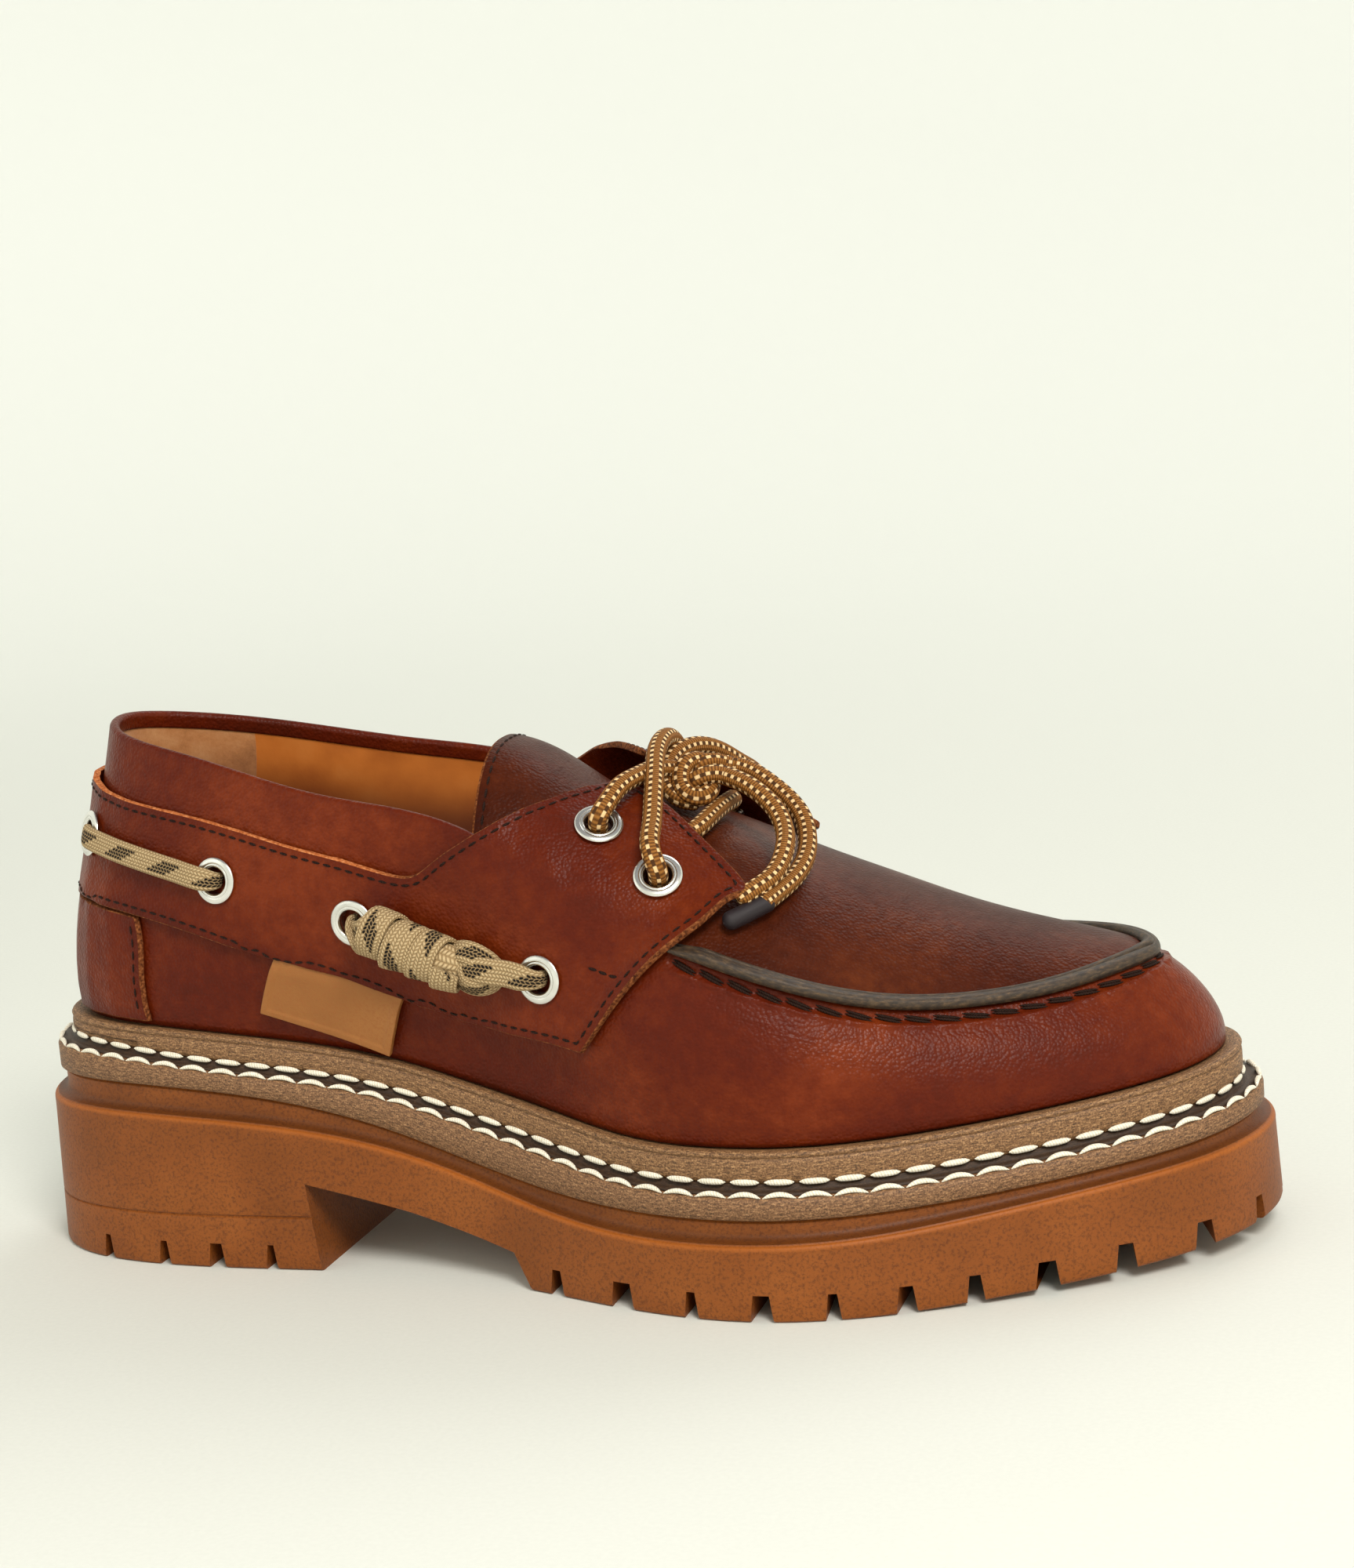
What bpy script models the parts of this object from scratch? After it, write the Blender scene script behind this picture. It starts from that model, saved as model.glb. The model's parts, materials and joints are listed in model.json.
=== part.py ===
"""Right-foot boat-style loafer on a chunky lugged sole, as a maker would assemble it.

Metres, +Z up, toe towards +X, little-toe side towards -Y, floor at z = 0.
Tables are in millimetres, measured from the back of the heel, and turned to metres by MM.
"""
import math

import bmesh
import bpy
import numpy as np
from mathutils import Vector
from mathutils.bvhtree import BVHTree

MM = 0.001
GAP = 0.3          # what curved neighbours keep to each other
OVERLAY_GAP = 0.6  # what an overlay keeps to the faceted form under it
LEATHER = 2.0      # wall of the upper with its lining
OVERLAY = 1.6      # band, flaps and counter
TONGUE = 2.2
LACE = 4.4         # diameter of the round front lace

# ---- the last: a row for each rib, round the shoe from the back of the heel ----------
# name, sole outline x y, inset of the upper's foot, handles of the side's curve
# (how far out and up it leaves the foot, how far out and down it meets the edge), edge x y z
LAST = (
    ("heel",     -1.3,   0.5, 11.0, 1.5, 20,  6, 30,  22.0,   1.5, 122.5),
    ("heel_l1",   6.5, -19.5, 10.0, 1.5, 20,  7, 30,  28.5, -12.0, 120.4),
    ("heel_l2",  34.0, -31.5,  8.0, 2.0, 18,  6, 26,  51.0, -21.0, 115.3),
    ("heel_l3",  75.0, -33.5,  7.3, 3.0, 18,  5, 24,  85.0, -29.0, 107.0),
    ("waist_l", 118.0, -38.5,  8.0, 3.5, 18,  4, 22, 120.0, -34.0,  99.3),
    ("ball_l0", 152.0, -51.0,  8.3, 3.5, 15,  6, 16, 150.0, -39.0,  82.0),
    ("ball_l",  186.0, -57.0,  8.3, 3.0, 12,  6, 12, 184.0, -43.8,  68.6),
    ("toe_l1",  222.0, -46.0,  8.6, 2.5,  9,  6,  7, 212.5, -33.0,  59.6),
    ("toe_l2",  252.0, -30.5,  8.8, 1.5,  8,  6,  4, 236.0, -18.8,  58.2),
    ("toe_l3",  275.0, -11.0,  9.4, 1.0,  8,  6,  3, 251.0,  -5.5,  60.0),
    ("tip",     282.4,  12.0,  9.8, 1.0,  8,  7,  2, 257.5,   7.5,  61.4),
    ("toe_m3",  275.5,  32.0,  9.4, 1.0,  8,  6,  3, 251.5,  21.5,  61.0),
    ("toe_m2",  255.0,  46.0,  8.8, 1.5,  8,  6,  4, 238.0,  31.5,  60.0),
    ("toe_m1",  224.0,  50.5,  8.6, 2.5,  9,  6,  7, 215.0,  38.5,  61.0),
    ("ball_m",  192.0,  51.0,  8.3, 3.0, 12,  6, 12, 187.0,  40.0,  69.2),
    ("ball_m0", 152.0,  42.5,  8.0, 3.5, 15,  5, 18, 150.0,  35.5,  84.0),
    ("waist_m", 115.0,  35.0,  7.5, 4.0, 18,  4, 24, 117.0,  34.0, 102.4),
    ("heel_m3",  75.0,  35.0,  7.3, 3.0, 18,  5, 24,  85.0,  31.0, 110.0),
    ("heel_m2",  34.0,  33.5,  8.0, 2.0, 18,  6, 26,  50.0,  24.0, 117.2),
    ("heel_m1",   6.5,  21.0, 10.0, 1.5, 20,  7, 30,  28.5,  14.5, 121.2),
)
LAST_COLUMNS = ("x", "y", "inset", "low_out", "low_up", "high_out", "high_down",
                "edge_x", "edge_y", "edge_z")
TIP = 10           # the row of the toe's tip
THROAT = 4.95      # ribs from the tip to the back edge of the apron
INSTEP = 6         # ribs from the tip to the back edge of the tongue

# ---- the top line of the forefoot, over the middle of the foot: x, z ------------------
CREST = ((112, 113.5), (120, 113.8), (130, 111.0), (138, 106.5), (152, 100.5), (170, 93.5),
         (187, 86.0), (202, 79.7), (216, 73.8), (230, 69.0), (241, 66.0), (248, 64.4),
         (254, 63.2), (258, 61.9))
CREST_POWER = 2.2  # how square the arch across the foot is

# ---- the sole from the side: x, top of the storm welt, foot of the midsole, lip --------
SOLE = (
    ( -2, 55.1, 41.6, 35.3), ( 36, 53.8, 41.4, 34.7), ( 72, 50.6, 37.6, 31.9),
    ( 98, 46.3, 31.3, 27.2), (115, 42.1, 26.2, 22.6), (135, 37.8, 22.1, 17.6),
    (152, 34.8, 20.7, 15.6), (180, 34.0, 20.5, 15.3), (205, 34.3, 20.8, 16.0),
    (240, 36.5, 23.0, 19.4), (283, 40.8, 27.4, 23.6),
)
SPRING_FROM, TOE_SPRING = 205.0, 5.2    # where the tread leaves the floor, its height at the tip
# height of the storm welt's face at x: it grows from the heel to the toe
WELT = ((-2, 5.5), (24, 5.3), (48, 6.3), (80, 6.5), (110, 6.9), (180, 7.1), (250, 7.7),
        (283, 7.5))
GROOVE = 1.3            # from there down to the midsole's edge, where the stitches lie
WELT_INSET = ((0, 6.2), (36, 5.4), (118, 5.6), (193, 5.8), (283, 6.4))
MIDSOLE_INSET = 2.2
BAND_INSET = 3.4        # the outsole's recessed band under the midsole


# ---- curves ----------------------------------------------------------------------------
def column(*names):
    return np.array([[row[1 + LAST_COLUMNS.index(n)] for n in names] for row in LAST], float)


def natural(xs, ys):
    """Natural cubic through a short table; flat beyond its ends."""
    xs, ys = np.asarray(xs, float), np.asarray(ys, float)
    n, h = len(xs), np.diff(xs)
    system, right = np.eye(n), np.zeros(n)
    for i in range(1, n - 1):
        system[i, i - 1:i + 2] = h[i - 1], 2 * (h[i - 1] + h[i]), h[i]
        right[i] = 6 * ((ys[i + 1] - ys[i]) / h[i] - (ys[i] - ys[i - 1]) / h[i - 1])
    bend = np.linalg.solve(system, right)

    def at(x):
        x = np.clip(x, xs[0], xs[-1])
        i = np.clip(np.searchsorted(xs, x, side="right") - 1, 0, n - 2)
        a, b = xs[i + 1] - x, x - xs[i]
        return ((bend[i] * a**3 + bend[i + 1] * b**3) / (6 * h[i])
                + (ys[i] / h[i] - bend[i] * h[i] / 6) * a
                + (ys[i + 1] / h[i] - bend[i + 1] * h[i] / 6) * b)
    return at


RIB_STEP = np.linalg.norm(np.roll(column("x", "y"), -1, 0) - column("x", "y"), axis=1)
RIB_AT = np.concatenate([[0], np.cumsum(RIB_STEP)])     # each rib's place along the sole's edge


def loop(rows):
    """Closed cubic through a value for each rib, by the place along the sole's edge."""
    rows = np.asarray(rows, float)
    m = len(rows)
    system, right = np.zeros((m, m)), np.zeros_like(rows)
    for i in range(m):
        before, after = RIB_STEP[i - 1], RIB_STEP[i]
        system[i, i - 1] += before
        system[i, i] += 2 * (before + after)
        system[i, (i + 1) % m] += after
        right[i] = 6 * ((rows[(i + 1) % m] - rows[i]) / after - (rows[i] - rows[i - 1]) / before)
    bend = np.linalg.solve(system, right)

    def at(t):
        t = np.mod(np.asarray(t, float), RIB_AT[-1])
        i = np.clip(np.searchsorted(RIB_AT, t, side="right") - 1, 0, m - 1)
        j = (i + 1) % m
        b = ((t - RIB_AT[i]) / RIB_STEP[i])[..., None]
        a = 1 - b
        return (a * rows[i] + b * rows[j]
                + ((a**3 - a) * bend[i] + (b**3 - b) * bend[j]) * RIB_STEP[i][..., None]**2 / 6)
    return at


OUTLINE = loop(column("x", "y"))
EDGE = loop(column("edge_x", "edge_y", "edge_z"))
SIDE = loop(column("inset", "low_out", "low_up", "high_out", "high_down"))
TOP_OF_WELT, FOOT_OF_MIDSOLE, LIP = (
    natural([r[0] for r in SOLE], [r[c] for r in SOLE]) for c in (1, 2, 3))
welt_inset = natural(*zip(*WELT_INSET))
welt_height = natural(*zip(*WELT))
crest = natural(*zip(*CREST))


def tread(x):
    """Height of the tread's face: flat on the floor, then the toe spring."""
    return TOE_SPRING * (np.maximum(x - SPRING_FROM, 0) / (283.0 - SPRING_FROM))**1.5


def place(rib):
    """Place along the sole's edge of a rib number, which may lie between two ribs."""
    return np.interp(np.mod(rib, len(LAST)), np.arange(len(LAST) + 1), RIB_AT)


def outward(t):
    d = OUTLINE(t + 0.05) - OUTLINE(t - 0.05)
    d = d / np.linalg.norm(d, axis=-1)[..., None]
    return np.stack([d[..., 1], -d[..., 0]], -1)


def outline(t, out=0.0):
    """The sole's edge, moved out (or in) by so much."""
    return OUTLINE(t) + np.asarray(out * np.ones_like(t))[..., None] * outward(t)


def side(t, v):
    """The upper's side: a cubic curve from its foot on the welt (v 0) to its edge (v 1)."""
    t, v = np.broadcast_arrays(np.asarray(t, float), np.asarray(v, float))
    shape, n = SIDE(t), outward(t)
    out = np.concatenate([n, np.zeros(n.shape[:-1] + (1,))], -1)
    up = np.array([0, 0, 1.0])
    foot = OUTLINE(t) - shape[..., :1] * n
    low = np.concatenate([foot, (TOP_OF_WELT(foot[..., 0]) + GAP)[..., None]], -1)
    top = EDGE(t)
    low_handle = low + shape[..., 1:2] * out + shape[..., 2:3] * up
    top_handle = top + shape[..., 3:4] * out - shape[..., 4:5] * up
    v = v[..., None]
    a = 1 - v
    return a**3 * low + 3 * a * a * v * low_handle + 3 * a * v * v * top_handle + v**3 * top


little_side = natural(np.arange(INSTEP + 1), [RIB_AT[TIP - i] for i in range(INSTEP + 1)])
big_side = natural(np.arange(INSTEP + 1), [RIB_AT[TIP + i] for i in range(INSTEP + 1)])


def across(s, w):
    """Over the foot between the two edges: s ribs back from the tip, w -1 to 1 across."""
    s, w = np.broadcast_arrays(np.asarray(s, float), np.asarray(w, float))
    near, far = EDGE(little_side(s)), EDGE(big_side(s))
    a = ((1 - w) / 2)[..., None]
    p = a * near + (1 - a) * far
    middle = (near + far) / 2
    p[..., 2] += (crest(middle[..., 0]) - middle[..., 2]) * (1 - np.abs(w)**CREST_POWER)
    return p


# ---- meshes ----------------------------------------------------------------------------
def material(name, colour, roughness, metallic=0.0):
    made = bpy.data.materials.new(name)
    made.use_nodes = True
    shader = made.node_tree.nodes["Principled BSDF"]
    shader.inputs["Base Color"].default_value = (*colour, 1)
    shader.inputs["Roughness"].default_value = roughness
    shader.inputs["Metallic"].default_value = metallic
    made.diffuse_color = (*colour, 1)
    return made


def mesh_object(name, points, faces, finish):
    """A named object from points in millimetres; its faces are turned to point out."""
    mesh = bpy.data.meshes.new(name)
    mesh.from_pydata([tuple(p) for p in (np.asarray(points) - CENTRE) * MM], [], faces)
    made = bpy.data.objects.new(name, mesh)
    bpy.context.collection.objects.link(made)
    mesh.materials.append(finish)
    work = bmesh.new()
    work.from_mesh(mesh)
    bmesh.ops.remove_doubles(work, verts=work.verts, dist=1e-6)
    bmesh.ops.recalc_face_normals(work, faces=work.faces)
    work.to_mesh(mesh)
    work.free()
    mesh.shade_smooth()
    mesh.set_sharp_from_angle(angle=math.radians(35))
    return made


def grid_faces(rows, columns, closed=False):
    """Quads of a grid of points stored row by row; closed joins the last row to the first."""
    return [(i * columns + j, ((i + 1) % rows) * columns + j,
             ((i + 1) % rows) * columns + j + 1, i * columns + j + 1)
            for i in range(rows if closed else rows - 1) for j in range(columns - 1)]


def point_normals(points, faces):
    normal = np.zeros_like(points)
    for face in faces:
        corners = points[list(face)]
        n = np.zeros(3)
        for k in range(1, len(face) - 1):
            n += np.cross(corners[k] - corners[0], corners[k + 1] - corners[0])
        normal[list(face)] += n
    return normal / np.linalg.norm(normal, axis=1)[:, None]


def shell_faces(faces, count):
    """A wall's faces: the sheet, its copy behind, and a rim along each open edge."""
    used = {}
    for face in faces:
        for a, b in zip(face, face[1:] + face[:1]):
            used.setdefault((min(a, b), max(a, b)), []).append((a, b))
    rim = [(b, a, a + count, b + count) for (a, b), in
           (pairs for pairs in used.values() if len(pairs) == 1)]
    return list(faces) + [tuple(reversed([k + count for k in face])) for face in faces] + rim


def halved(points, faces):
    """Four-sided faces cut along their shorter diagonal, so both sides of a wall bend alike."""
    cut_faces = []
    for a, b, c, d in faces:
        if np.linalg.norm(points[a] - points[c]) < np.linalg.norm(points[b] - points[d]):
            cut_faces += [(a, b, c), (a, c, d)]
        else:
            cut_faces += [(a, b, d), (b, c, d)]
    return cut_faces


def wall_object(name, points, faces, thickness, finish, outwards=True):
    """A wall of even thickness on a sheet of points, grown along the sheet's normals."""
    grow = point_normals(points, faces) * (thickness if outwards else -thickness)
    both = np.vstack([points, points + grow])
    return mesh_object(name, both, shell_faces(faces, len(points)), finish)


def tube_faces(rings, sides):
    """Faces of a capped tube of rings of points."""
    faces = [(i * sides + j, i * sides + (j + 1) % sides, (i + 1) * sides + (j + 1) % sides,
              (i + 1) * sides + j) for i in range(rings - 1) for j in range(sides)]
    return faces + [tuple(range(sides))[::-1], tuple((rings - 1) * sides + j for j in range(sides))]


def smooth_path(points, count):
    """A smooth curve through hand-chosen points, with even steps."""
    points = np.asarray(points, float)
    step = np.concatenate([[0], np.cumsum(np.linalg.norm(np.diff(points, axis=0), axis=1))])
    fine = np.linspace(0, step[-1], 40 * len(points))
    curve = np.stack([natural(step, points[:, c])(fine) for c in range(3)], 1)
    run = np.concatenate([[0], np.cumsum(np.linalg.norm(np.diff(curve, axis=0), axis=1))])
    even = np.linspace(0, run[-1], count)
    return np.stack([np.interp(even, run, curve[:, c]) for c in range(3)], 1)


# ---- the sole --------------------------------------------------------------------------
SIDE_COLUMNS = 28      # columns of the sole on each side, from heel to tip
SOLE_RIBS = np.concatenate([np.linspace(0, TIP, SIDE_COLUMNS + 1),
                            np.linspace(TIP, 2 * TIP, SIDE_COLUMNS + 1)[1:-1]])
SOLE_PLACES = place(SOLE_RIBS)
BEAD = 0.9             # radius of the lip's bead
FLARE = 0.8            # how far the tread stands out from the lip
TREAD_BEVEL = 1.2
LUG = 5.8              # depth of the tread
BREAST = 76.0          # where the heel block ends
WAIST = ((BREAST - 1.8, 20.0), (100.0, 14.5), (125.5, 8.0), (129.0, 1.6), (131.0, -3.0))
# notches in the tread: x, width at the floor, whether it runs right across
FORE_NOTCHES = ((136.4, 3.6, False), (153.0, 5.6, True), (169.3, 3.4, False),
                (184.6, 5.0, True), (199.0, 3.4, False), (213.2, 4.2, True),
                (226.2, 3.8, False), (240.0, 4.8, True), (254.8, 4.6, False),
                (269.6, 4.8, False))
HEEL_NOTCHES = ((21.0, 3.0, False), (37.0, 3.2, False), (50.7, 4.4, False), (64.4, 3.0, False))
END_NOTCHES = ((9.35, 4.0), (10.1, 4.0), (10.85, 4.0), (-0.45, 3.0), (0.45, 3.0))  # rib, width
NOTCH_REACH = 16.0     # how far a short notch runs in from the side
NOTCH_TAPER = 0.8      # how much narrower a notch is at its top


def plate(name, levels, finish):
    """A full plate of the sole: rings of (distance out, height) from its top to its floor."""
    count = len(SOLE_PLACES)
    rings = []
    for out, height in levels:
        xy = outline(SOLE_PLACES, out(OUTLINE(SOLE_PLACES)[:, 0]) if callable(out) else out)
        rings.append(np.column_stack([xy, height(xy[:, 0])]))
    faces = [(i * count + j, i * count + (j + 1) % count, (i + 1) * count + (j + 1) % count,
              (i + 1) * count + j) for i in range(len(rings) - 1) for j in range(count)]
    for base in (0, (len(rings) - 1) * count):
        # strips across from the little-toe side to the big-toe side, a triangle at each end
        pairs = [(base + k, base + (count - k) % count) for k in range(SIDE_COLUMNS + 1)]
        for (a, b), (c, d) in zip(pairs, pairs[1:]):
            faces.append(tuple(dict.fromkeys((a, c, d, b))))
    return mesh_object(name, np.vstack(rings), faces, finish)


def prism(name, section, low, high):
    """A cutter: a side-view section (x, z) run across the shoe from y low to y high."""
    n = len(section)
    points = [(x, y, z) for y in (low, high) for x, z in section]
    faces = [(i, (i + 1) % n, n + (i + 1) % n, n + i) for i in range(n)]
    faces += [tuple(range(n))[::-1], tuple(range(n, 2 * n))]
    made = mesh_object(name, points, faces, RUBBER)
    made.hide_render, made.display_type = True, "WIRE"
    return made


def notch(name, start, inward, width, reach, floor):
    """A cutter for a notch of the tread, tapered to its top, run inward from start."""
    inward = np.asarray(inward) / np.linalg.norm(inward)
    beside = np.array([-inward[1], inward[0]])
    half, top = width / 2, width / 2 - NOTCH_TAPER
    corners = []
    for along in (-6.0, reach):
        for offset, z in ((-half, -3.0), (half, -3.0), (half, floor), (top, floor + LUG),
                          (-top, floor + LUG), (-half, floor)):
            xy = start + along * inward + offset * beside
            corners.append((*xy, z))
    faces = [(i, (i + 1) % 6, 6 + (i + 1) % 6, 6 + i) for i in range(6)]
    faces += [(5, 4, 3, 2, 1, 0), (6, 7, 8, 9, 10, 11)]
    made = mesh_object(name, corners, faces, RUBBER)
    made.hide_render, made.display_type = True, "WIRE"
    return made


def rib_at_x(x, side_sign):
    """Rib number on one side (-1 little toe, 1 big toe) where the sole's edge has this x."""
    ribs = np.linspace(0.3, TIP - 0.3, 400) if side_sign < 0 else np.linspace(TIP + 0.3, 19.7, 400)
    xs = OUTLINE(place(ribs))[:, 0]
    order = np.argsort(xs)
    return float(np.interp(x, xs[order], ribs[order]))


def cut(target, cutters, label):
    """One Boolean difference by all of the cutters, kept in a collection of their own."""
    group = bpy.data.collections.new(label)
    bpy.context.scene.collection.children.link(group)
    for cutter in cutters:
        bpy.context.collection.objects.unlink(cutter)
        group.objects.link(cutter)
    modifier = target.modifiers.new(label, "BOOLEAN")
    modifier.operation, modifier.solver = "DIFFERENCE", "EXACT"
    modifier.operand_type, modifier.collection = "COLLECTION", group


def make_outsole():
    sole = plate("outsole", (
        (-BAND_INSET, lambda x: FOOT_OF_MIDSOLE(x) - GAP),
        (-BAND_INSET, lambda x: LIP(x) + 2.0),
        (-BAND_INSET + 1.2, lambda x: LIP(x) + 0.7),
        (-BEAD, lambda x: LIP(x) + BEAD * 0.6),
        (-BEAD * 0.25, lambda x: LIP(x) + BEAD * 0.2),
        (0.0, lambda x: LIP(x) - BEAD),
        (FLARE, lambda x: tread(x) + TREAD_BEVEL),
        (FLARE - TREAD_BEVEL, tread)), RUBBER)
    cutters = [prism("waist_cutter", (*WAIST, (BREAST + 1.0, -3.0)), -75, 75)]
    for index, (x, width, through) in enumerate(FORE_NOTCHES + HEEL_NOTCHES):
        for sign in (-1, 1):
            start = OUTLINE(place(rib_at_x(x, sign)))
            inward = np.array([0.0, -sign]) if through or x < 190 else \
                np.array([0.0, -sign]) - 0.6 * outward(place(rib_at_x(x, sign)))
            if through and sign > 0:
                continue
            cutters.append(notch(f"notch_cutter_{index}_{sign + 1}", start, inward, width,
                                 150.0 if through else NOTCH_REACH, float(tread(x))))
    for index, (rib, width) in enumerate(END_NOTCHES):
        t = place(rib)
        cutters.append(notch(f"end_notch_cutter_{index}", OUTLINE(t), -outward(t), width,
                             NOTCH_REACH, float(tread(OUTLINE(t)[0]))))
    cut(sole, cutters, "tread")
    return sole


def make_midsole():
    def ledge(x):
        return TOP_OF_WELT(x) - welt_height(x) - GROOVE
    return plate("midsole", (
        (lambda x: -welt_inset(x) - 0.8, lambda x: TOP_OF_WELT(x) - welt_height(x) - GAP),
        (lambda x: -welt_inset(x) - 0.4, ledge),
        (-MIDSOLE_INSET - 1.1, lambda x: ledge(x) - 0.1),
        (-MIDSOLE_INSET, lambda x: ledge(x) - 1.3),
        (-MIDSOLE_INSET, FOOT_OF_MIDSOLE)), STACKED)


def make_storm_welt():
    return plate("storm_welt", (
        (lambda x: -welt_inset(x) - 0.9, TOP_OF_WELT),
        (lambda x: -welt_inset(x), lambda x: TOP_OF_WELT(x) - 0.8),
        (lambda x: -welt_inset(x), lambda x: TOP_OF_WELT(x) - welt_height(x) + 1.0),
        (lambda x: -welt_inset(x) - 0.7, lambda x: TOP_OF_WELT(x) - welt_height(x))), STACKED)


INSOLE = 3.0
INSOLE_SIDE_GAP = 1.0


def make_insole():
    inset = loop(column("inset"))(SOLE_PLACES)[:, 0] + LEATHER + INSOLE_SIDE_GAP

    def ring_out(_):
        return -inset
    return plate("insole", ((lambda _: -inset - 1.5, lambda x: TOP_OF_WELT(x) + GAP + INSOLE),
                            (ring_out, lambda x: TOP_OF_WELT(x) + GAP + INSOLE - 1.0),
                            (ring_out, lambda x: TOP_OF_WELT(x) + GAP)), LINING)


# ---- the upper -------------------------------------------------------------------------
FORE_STEPS = 14        # columns of each side from the tip to the throat
BACK_STEPS = 22        # columns round the collar
SIDE_ROWS = 8
APRON_ROWS = 8         # steps across the apron

fore_s = np.linspace(0, THROAT, FORE_STEPS + 1)
fore_near, fore_far = little_side(fore_s), big_side(fore_s)
back = np.linspace(fore_far[-1], fore_near[-1] + RIB_AT[-1], BACK_STEPS + 1)[1:-1]
UPPER_PLACES = np.concatenate([fore_near[::-1], fore_far[1:], back])  # throat, tip, round, heel


def upper_sheet():
    """The upper's outer sheet: its side all round, and the apron between the two edges."""
    v = np.linspace(0, 1, SIDE_ROWS + 1)
    walls = side(UPPER_PLACES[:, None], v[None, :])
    count = len(UPPER_PLACES)
    points = [walls.reshape(-1, 3)]
    faces = grid_faces(count, SIDE_ROWS + 1, closed=True)

    def top(column_index):
        return column_index * (SIDE_ROWS + 1) + SIDE_ROWS
    start = count * (SIDE_ROWS + 1)
    w = np.linspace(-1, 1, APRON_ROWS + 1)[1:-1]
    points.append(across(fore_s[1:, None], w[None, :]).reshape(-1, 3))
    rows = [[top(FORE_STEPS)] * (APRON_ROWS + 1)]
    for j in range(1, FORE_STEPS + 1):
        inner = [start + (j - 1) * (APRON_ROWS - 1) + k for k in range(APRON_ROWS - 1)]
        rows.append([top(FORE_STEPS - j), *inner, top(FORE_STEPS + j)])
    for near_row, far_row in zip(rows, rows[1:]):
        for k in range(APRON_ROWS):
            quad = (near_row[k], near_row[k + 1], far_row[k + 1], far_row[k])
            faces.append(tuple(dict.fromkeys(quad)))
    return np.vstack(points), faces


def make_upper():
    points, faces = upper_sheet()
    normals = point_normals(points, faces)
    tip = (FORE_STEPS * (SIDE_ROWS + 1)) + SIDE_ROWS // 2
    if normals[tip, 0] < 0:
        faces = [tuple(reversed(face)) for face in faces]
    made = wall_object("upper", points, faces, LEATHER, BROWN_LEATHER, outwards=False)
    return made, points, faces


# the tongue: an arch a little inside the apron, its back edge level with the top line
TONGUE_FROM, TONGUE_TO = 4.25, INSTEP
TONGUE_WIDTH = 0.88    # of the width between the edges
TONGUE_SIDE_DROP = 9.0
TONGUE_STEPS, TONGUE_ACROSS = 7, 11


def make_tongue():
    s = np.linspace(TONGUE_FROM, TONGUE_TO, TONGUE_STEPS)[:, None]
    w = np.linspace(-1, 1, TONGUE_ACROSS)[None, :]
    near, far = EDGE(little_side(s[:, 0])), EDGE(big_side(s[:, 0]))
    middle, half = (near + far) / 2, (far - near) / 2
    under = (LEATHER + OVERLAY_GAP + 0.6) * np.clip((INSTEP - s[:, 0]) / 0.8, 0, 1)
    top = crest(middle[:, 0]) - under
    drop = top - middle[:, 2] + TONGUE_SIDE_DROP
    p = middle[:, None, :] + half[:, None, :] * (TONGUE_WIDTH * w)[..., None]
    p[..., 2] = top[:, None] - drop[:, None] * np.abs(w)**2.6
    points = p.reshape(-1, 3)
    faces = grid_faces(TONGUE_STEPS, TONGUE_ACROSS)
    if point_normals(points, faces)[TONGUE_ACROSS // 2, 2] < 0:
        faces = [tuple(reversed(face)) for face in faces]
    return wall_object("tongue", points, faces, TONGUE, DARK_LEATHER, outwards=False)


# ---- overlays --------------------------------------------------------------------------
def over_last(rib, q, sign):
    """A place on the last: q 0 to 1 up the side, 1 to 2 over the foot to its middle.

    Ribs count from the heel along the little-toe side; sign 1 takes the other side."""
    rib, q = np.broadcast_arrays(np.asarray(rib, float), np.asarray(q, float))
    number = rib if sign < 0 else len(LAST) - rib
    low = side(place(number), np.clip(q, 0, 1))
    s = np.clip(TIP - rib, 0, INSTEP)
    w = np.clip(q - 2, -1, 0) * (1 if sign < 0 else -1)
    high = across(s, w)
    return np.where((q > 1)[..., None], high, low)


def grid_normals(grid, up_hint):
    """Unit normals of a grid of points, turned to the hinted side."""
    n = np.cross(np.gradient(grid, axis=0), np.gradient(grid, axis=1))
    n /= np.linalg.norm(n, axis=-1)[..., None]
    return n if np.sum(n * up_hint) > 0 else -n


def away_from_middle(grid):
    """A rough outward direction at each point: from the foot's middle line."""
    hint = grid - np.array([0, 3.0, 60.0])
    hint[..., 0] = 0
    return hint


# the side band: rib, q along its lower and upper edge; FLAP_FRONT closes it at the lacing
BAND_LOW = ((0, 0.465), (1.1, 0.48), (1.8, 0.464), (2.3, 0.43), (2.8, 0.38), (3.2, 0.352), (3.6, 0.306))
BAND_TOP = ((0, 0.85), (0.6, 0.853), (1.6, 0.83), (2.6, 0.82), (3.1, 0.808), (3.6, 0.785))
FLAP_LOW = ((3.6, 0.306), (3.93, 0.299), (4.33, 0.33), (4.86, 0.382))
FLAP_TOP = ((3.6, 0.785), (3.75, 0.824), (3.95, 0.93), (4.14, 1.012), (4.38, 1.165),
            (4.66, 1.43), (4.83, 1.61), (4.95, 1.7))
FLAP_FRONT = ((4.86, 0.382), (5.22, 0.7), (5.48, 0.945), (5.68, 1.11), (5.8, 1.24),
              (5.85, 1.33), (5.54, 1.49), (5.25, 1.63), (4.95, 1.7))
BAND_ROWS = len(FLAP_FRONT) - 1
BAND_COLUMNS, FLAP_COLUMNS = 10, 9
FLAP_LIFT = {-1: (4.2, 4.2), 1: (4.2, 3.8)}   # how far it stands off the foot: at its back, its tip
FLAP_BACK, FLAP_TIP = 4.95, 5.85              # ribs of its back corner and of its tip
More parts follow.
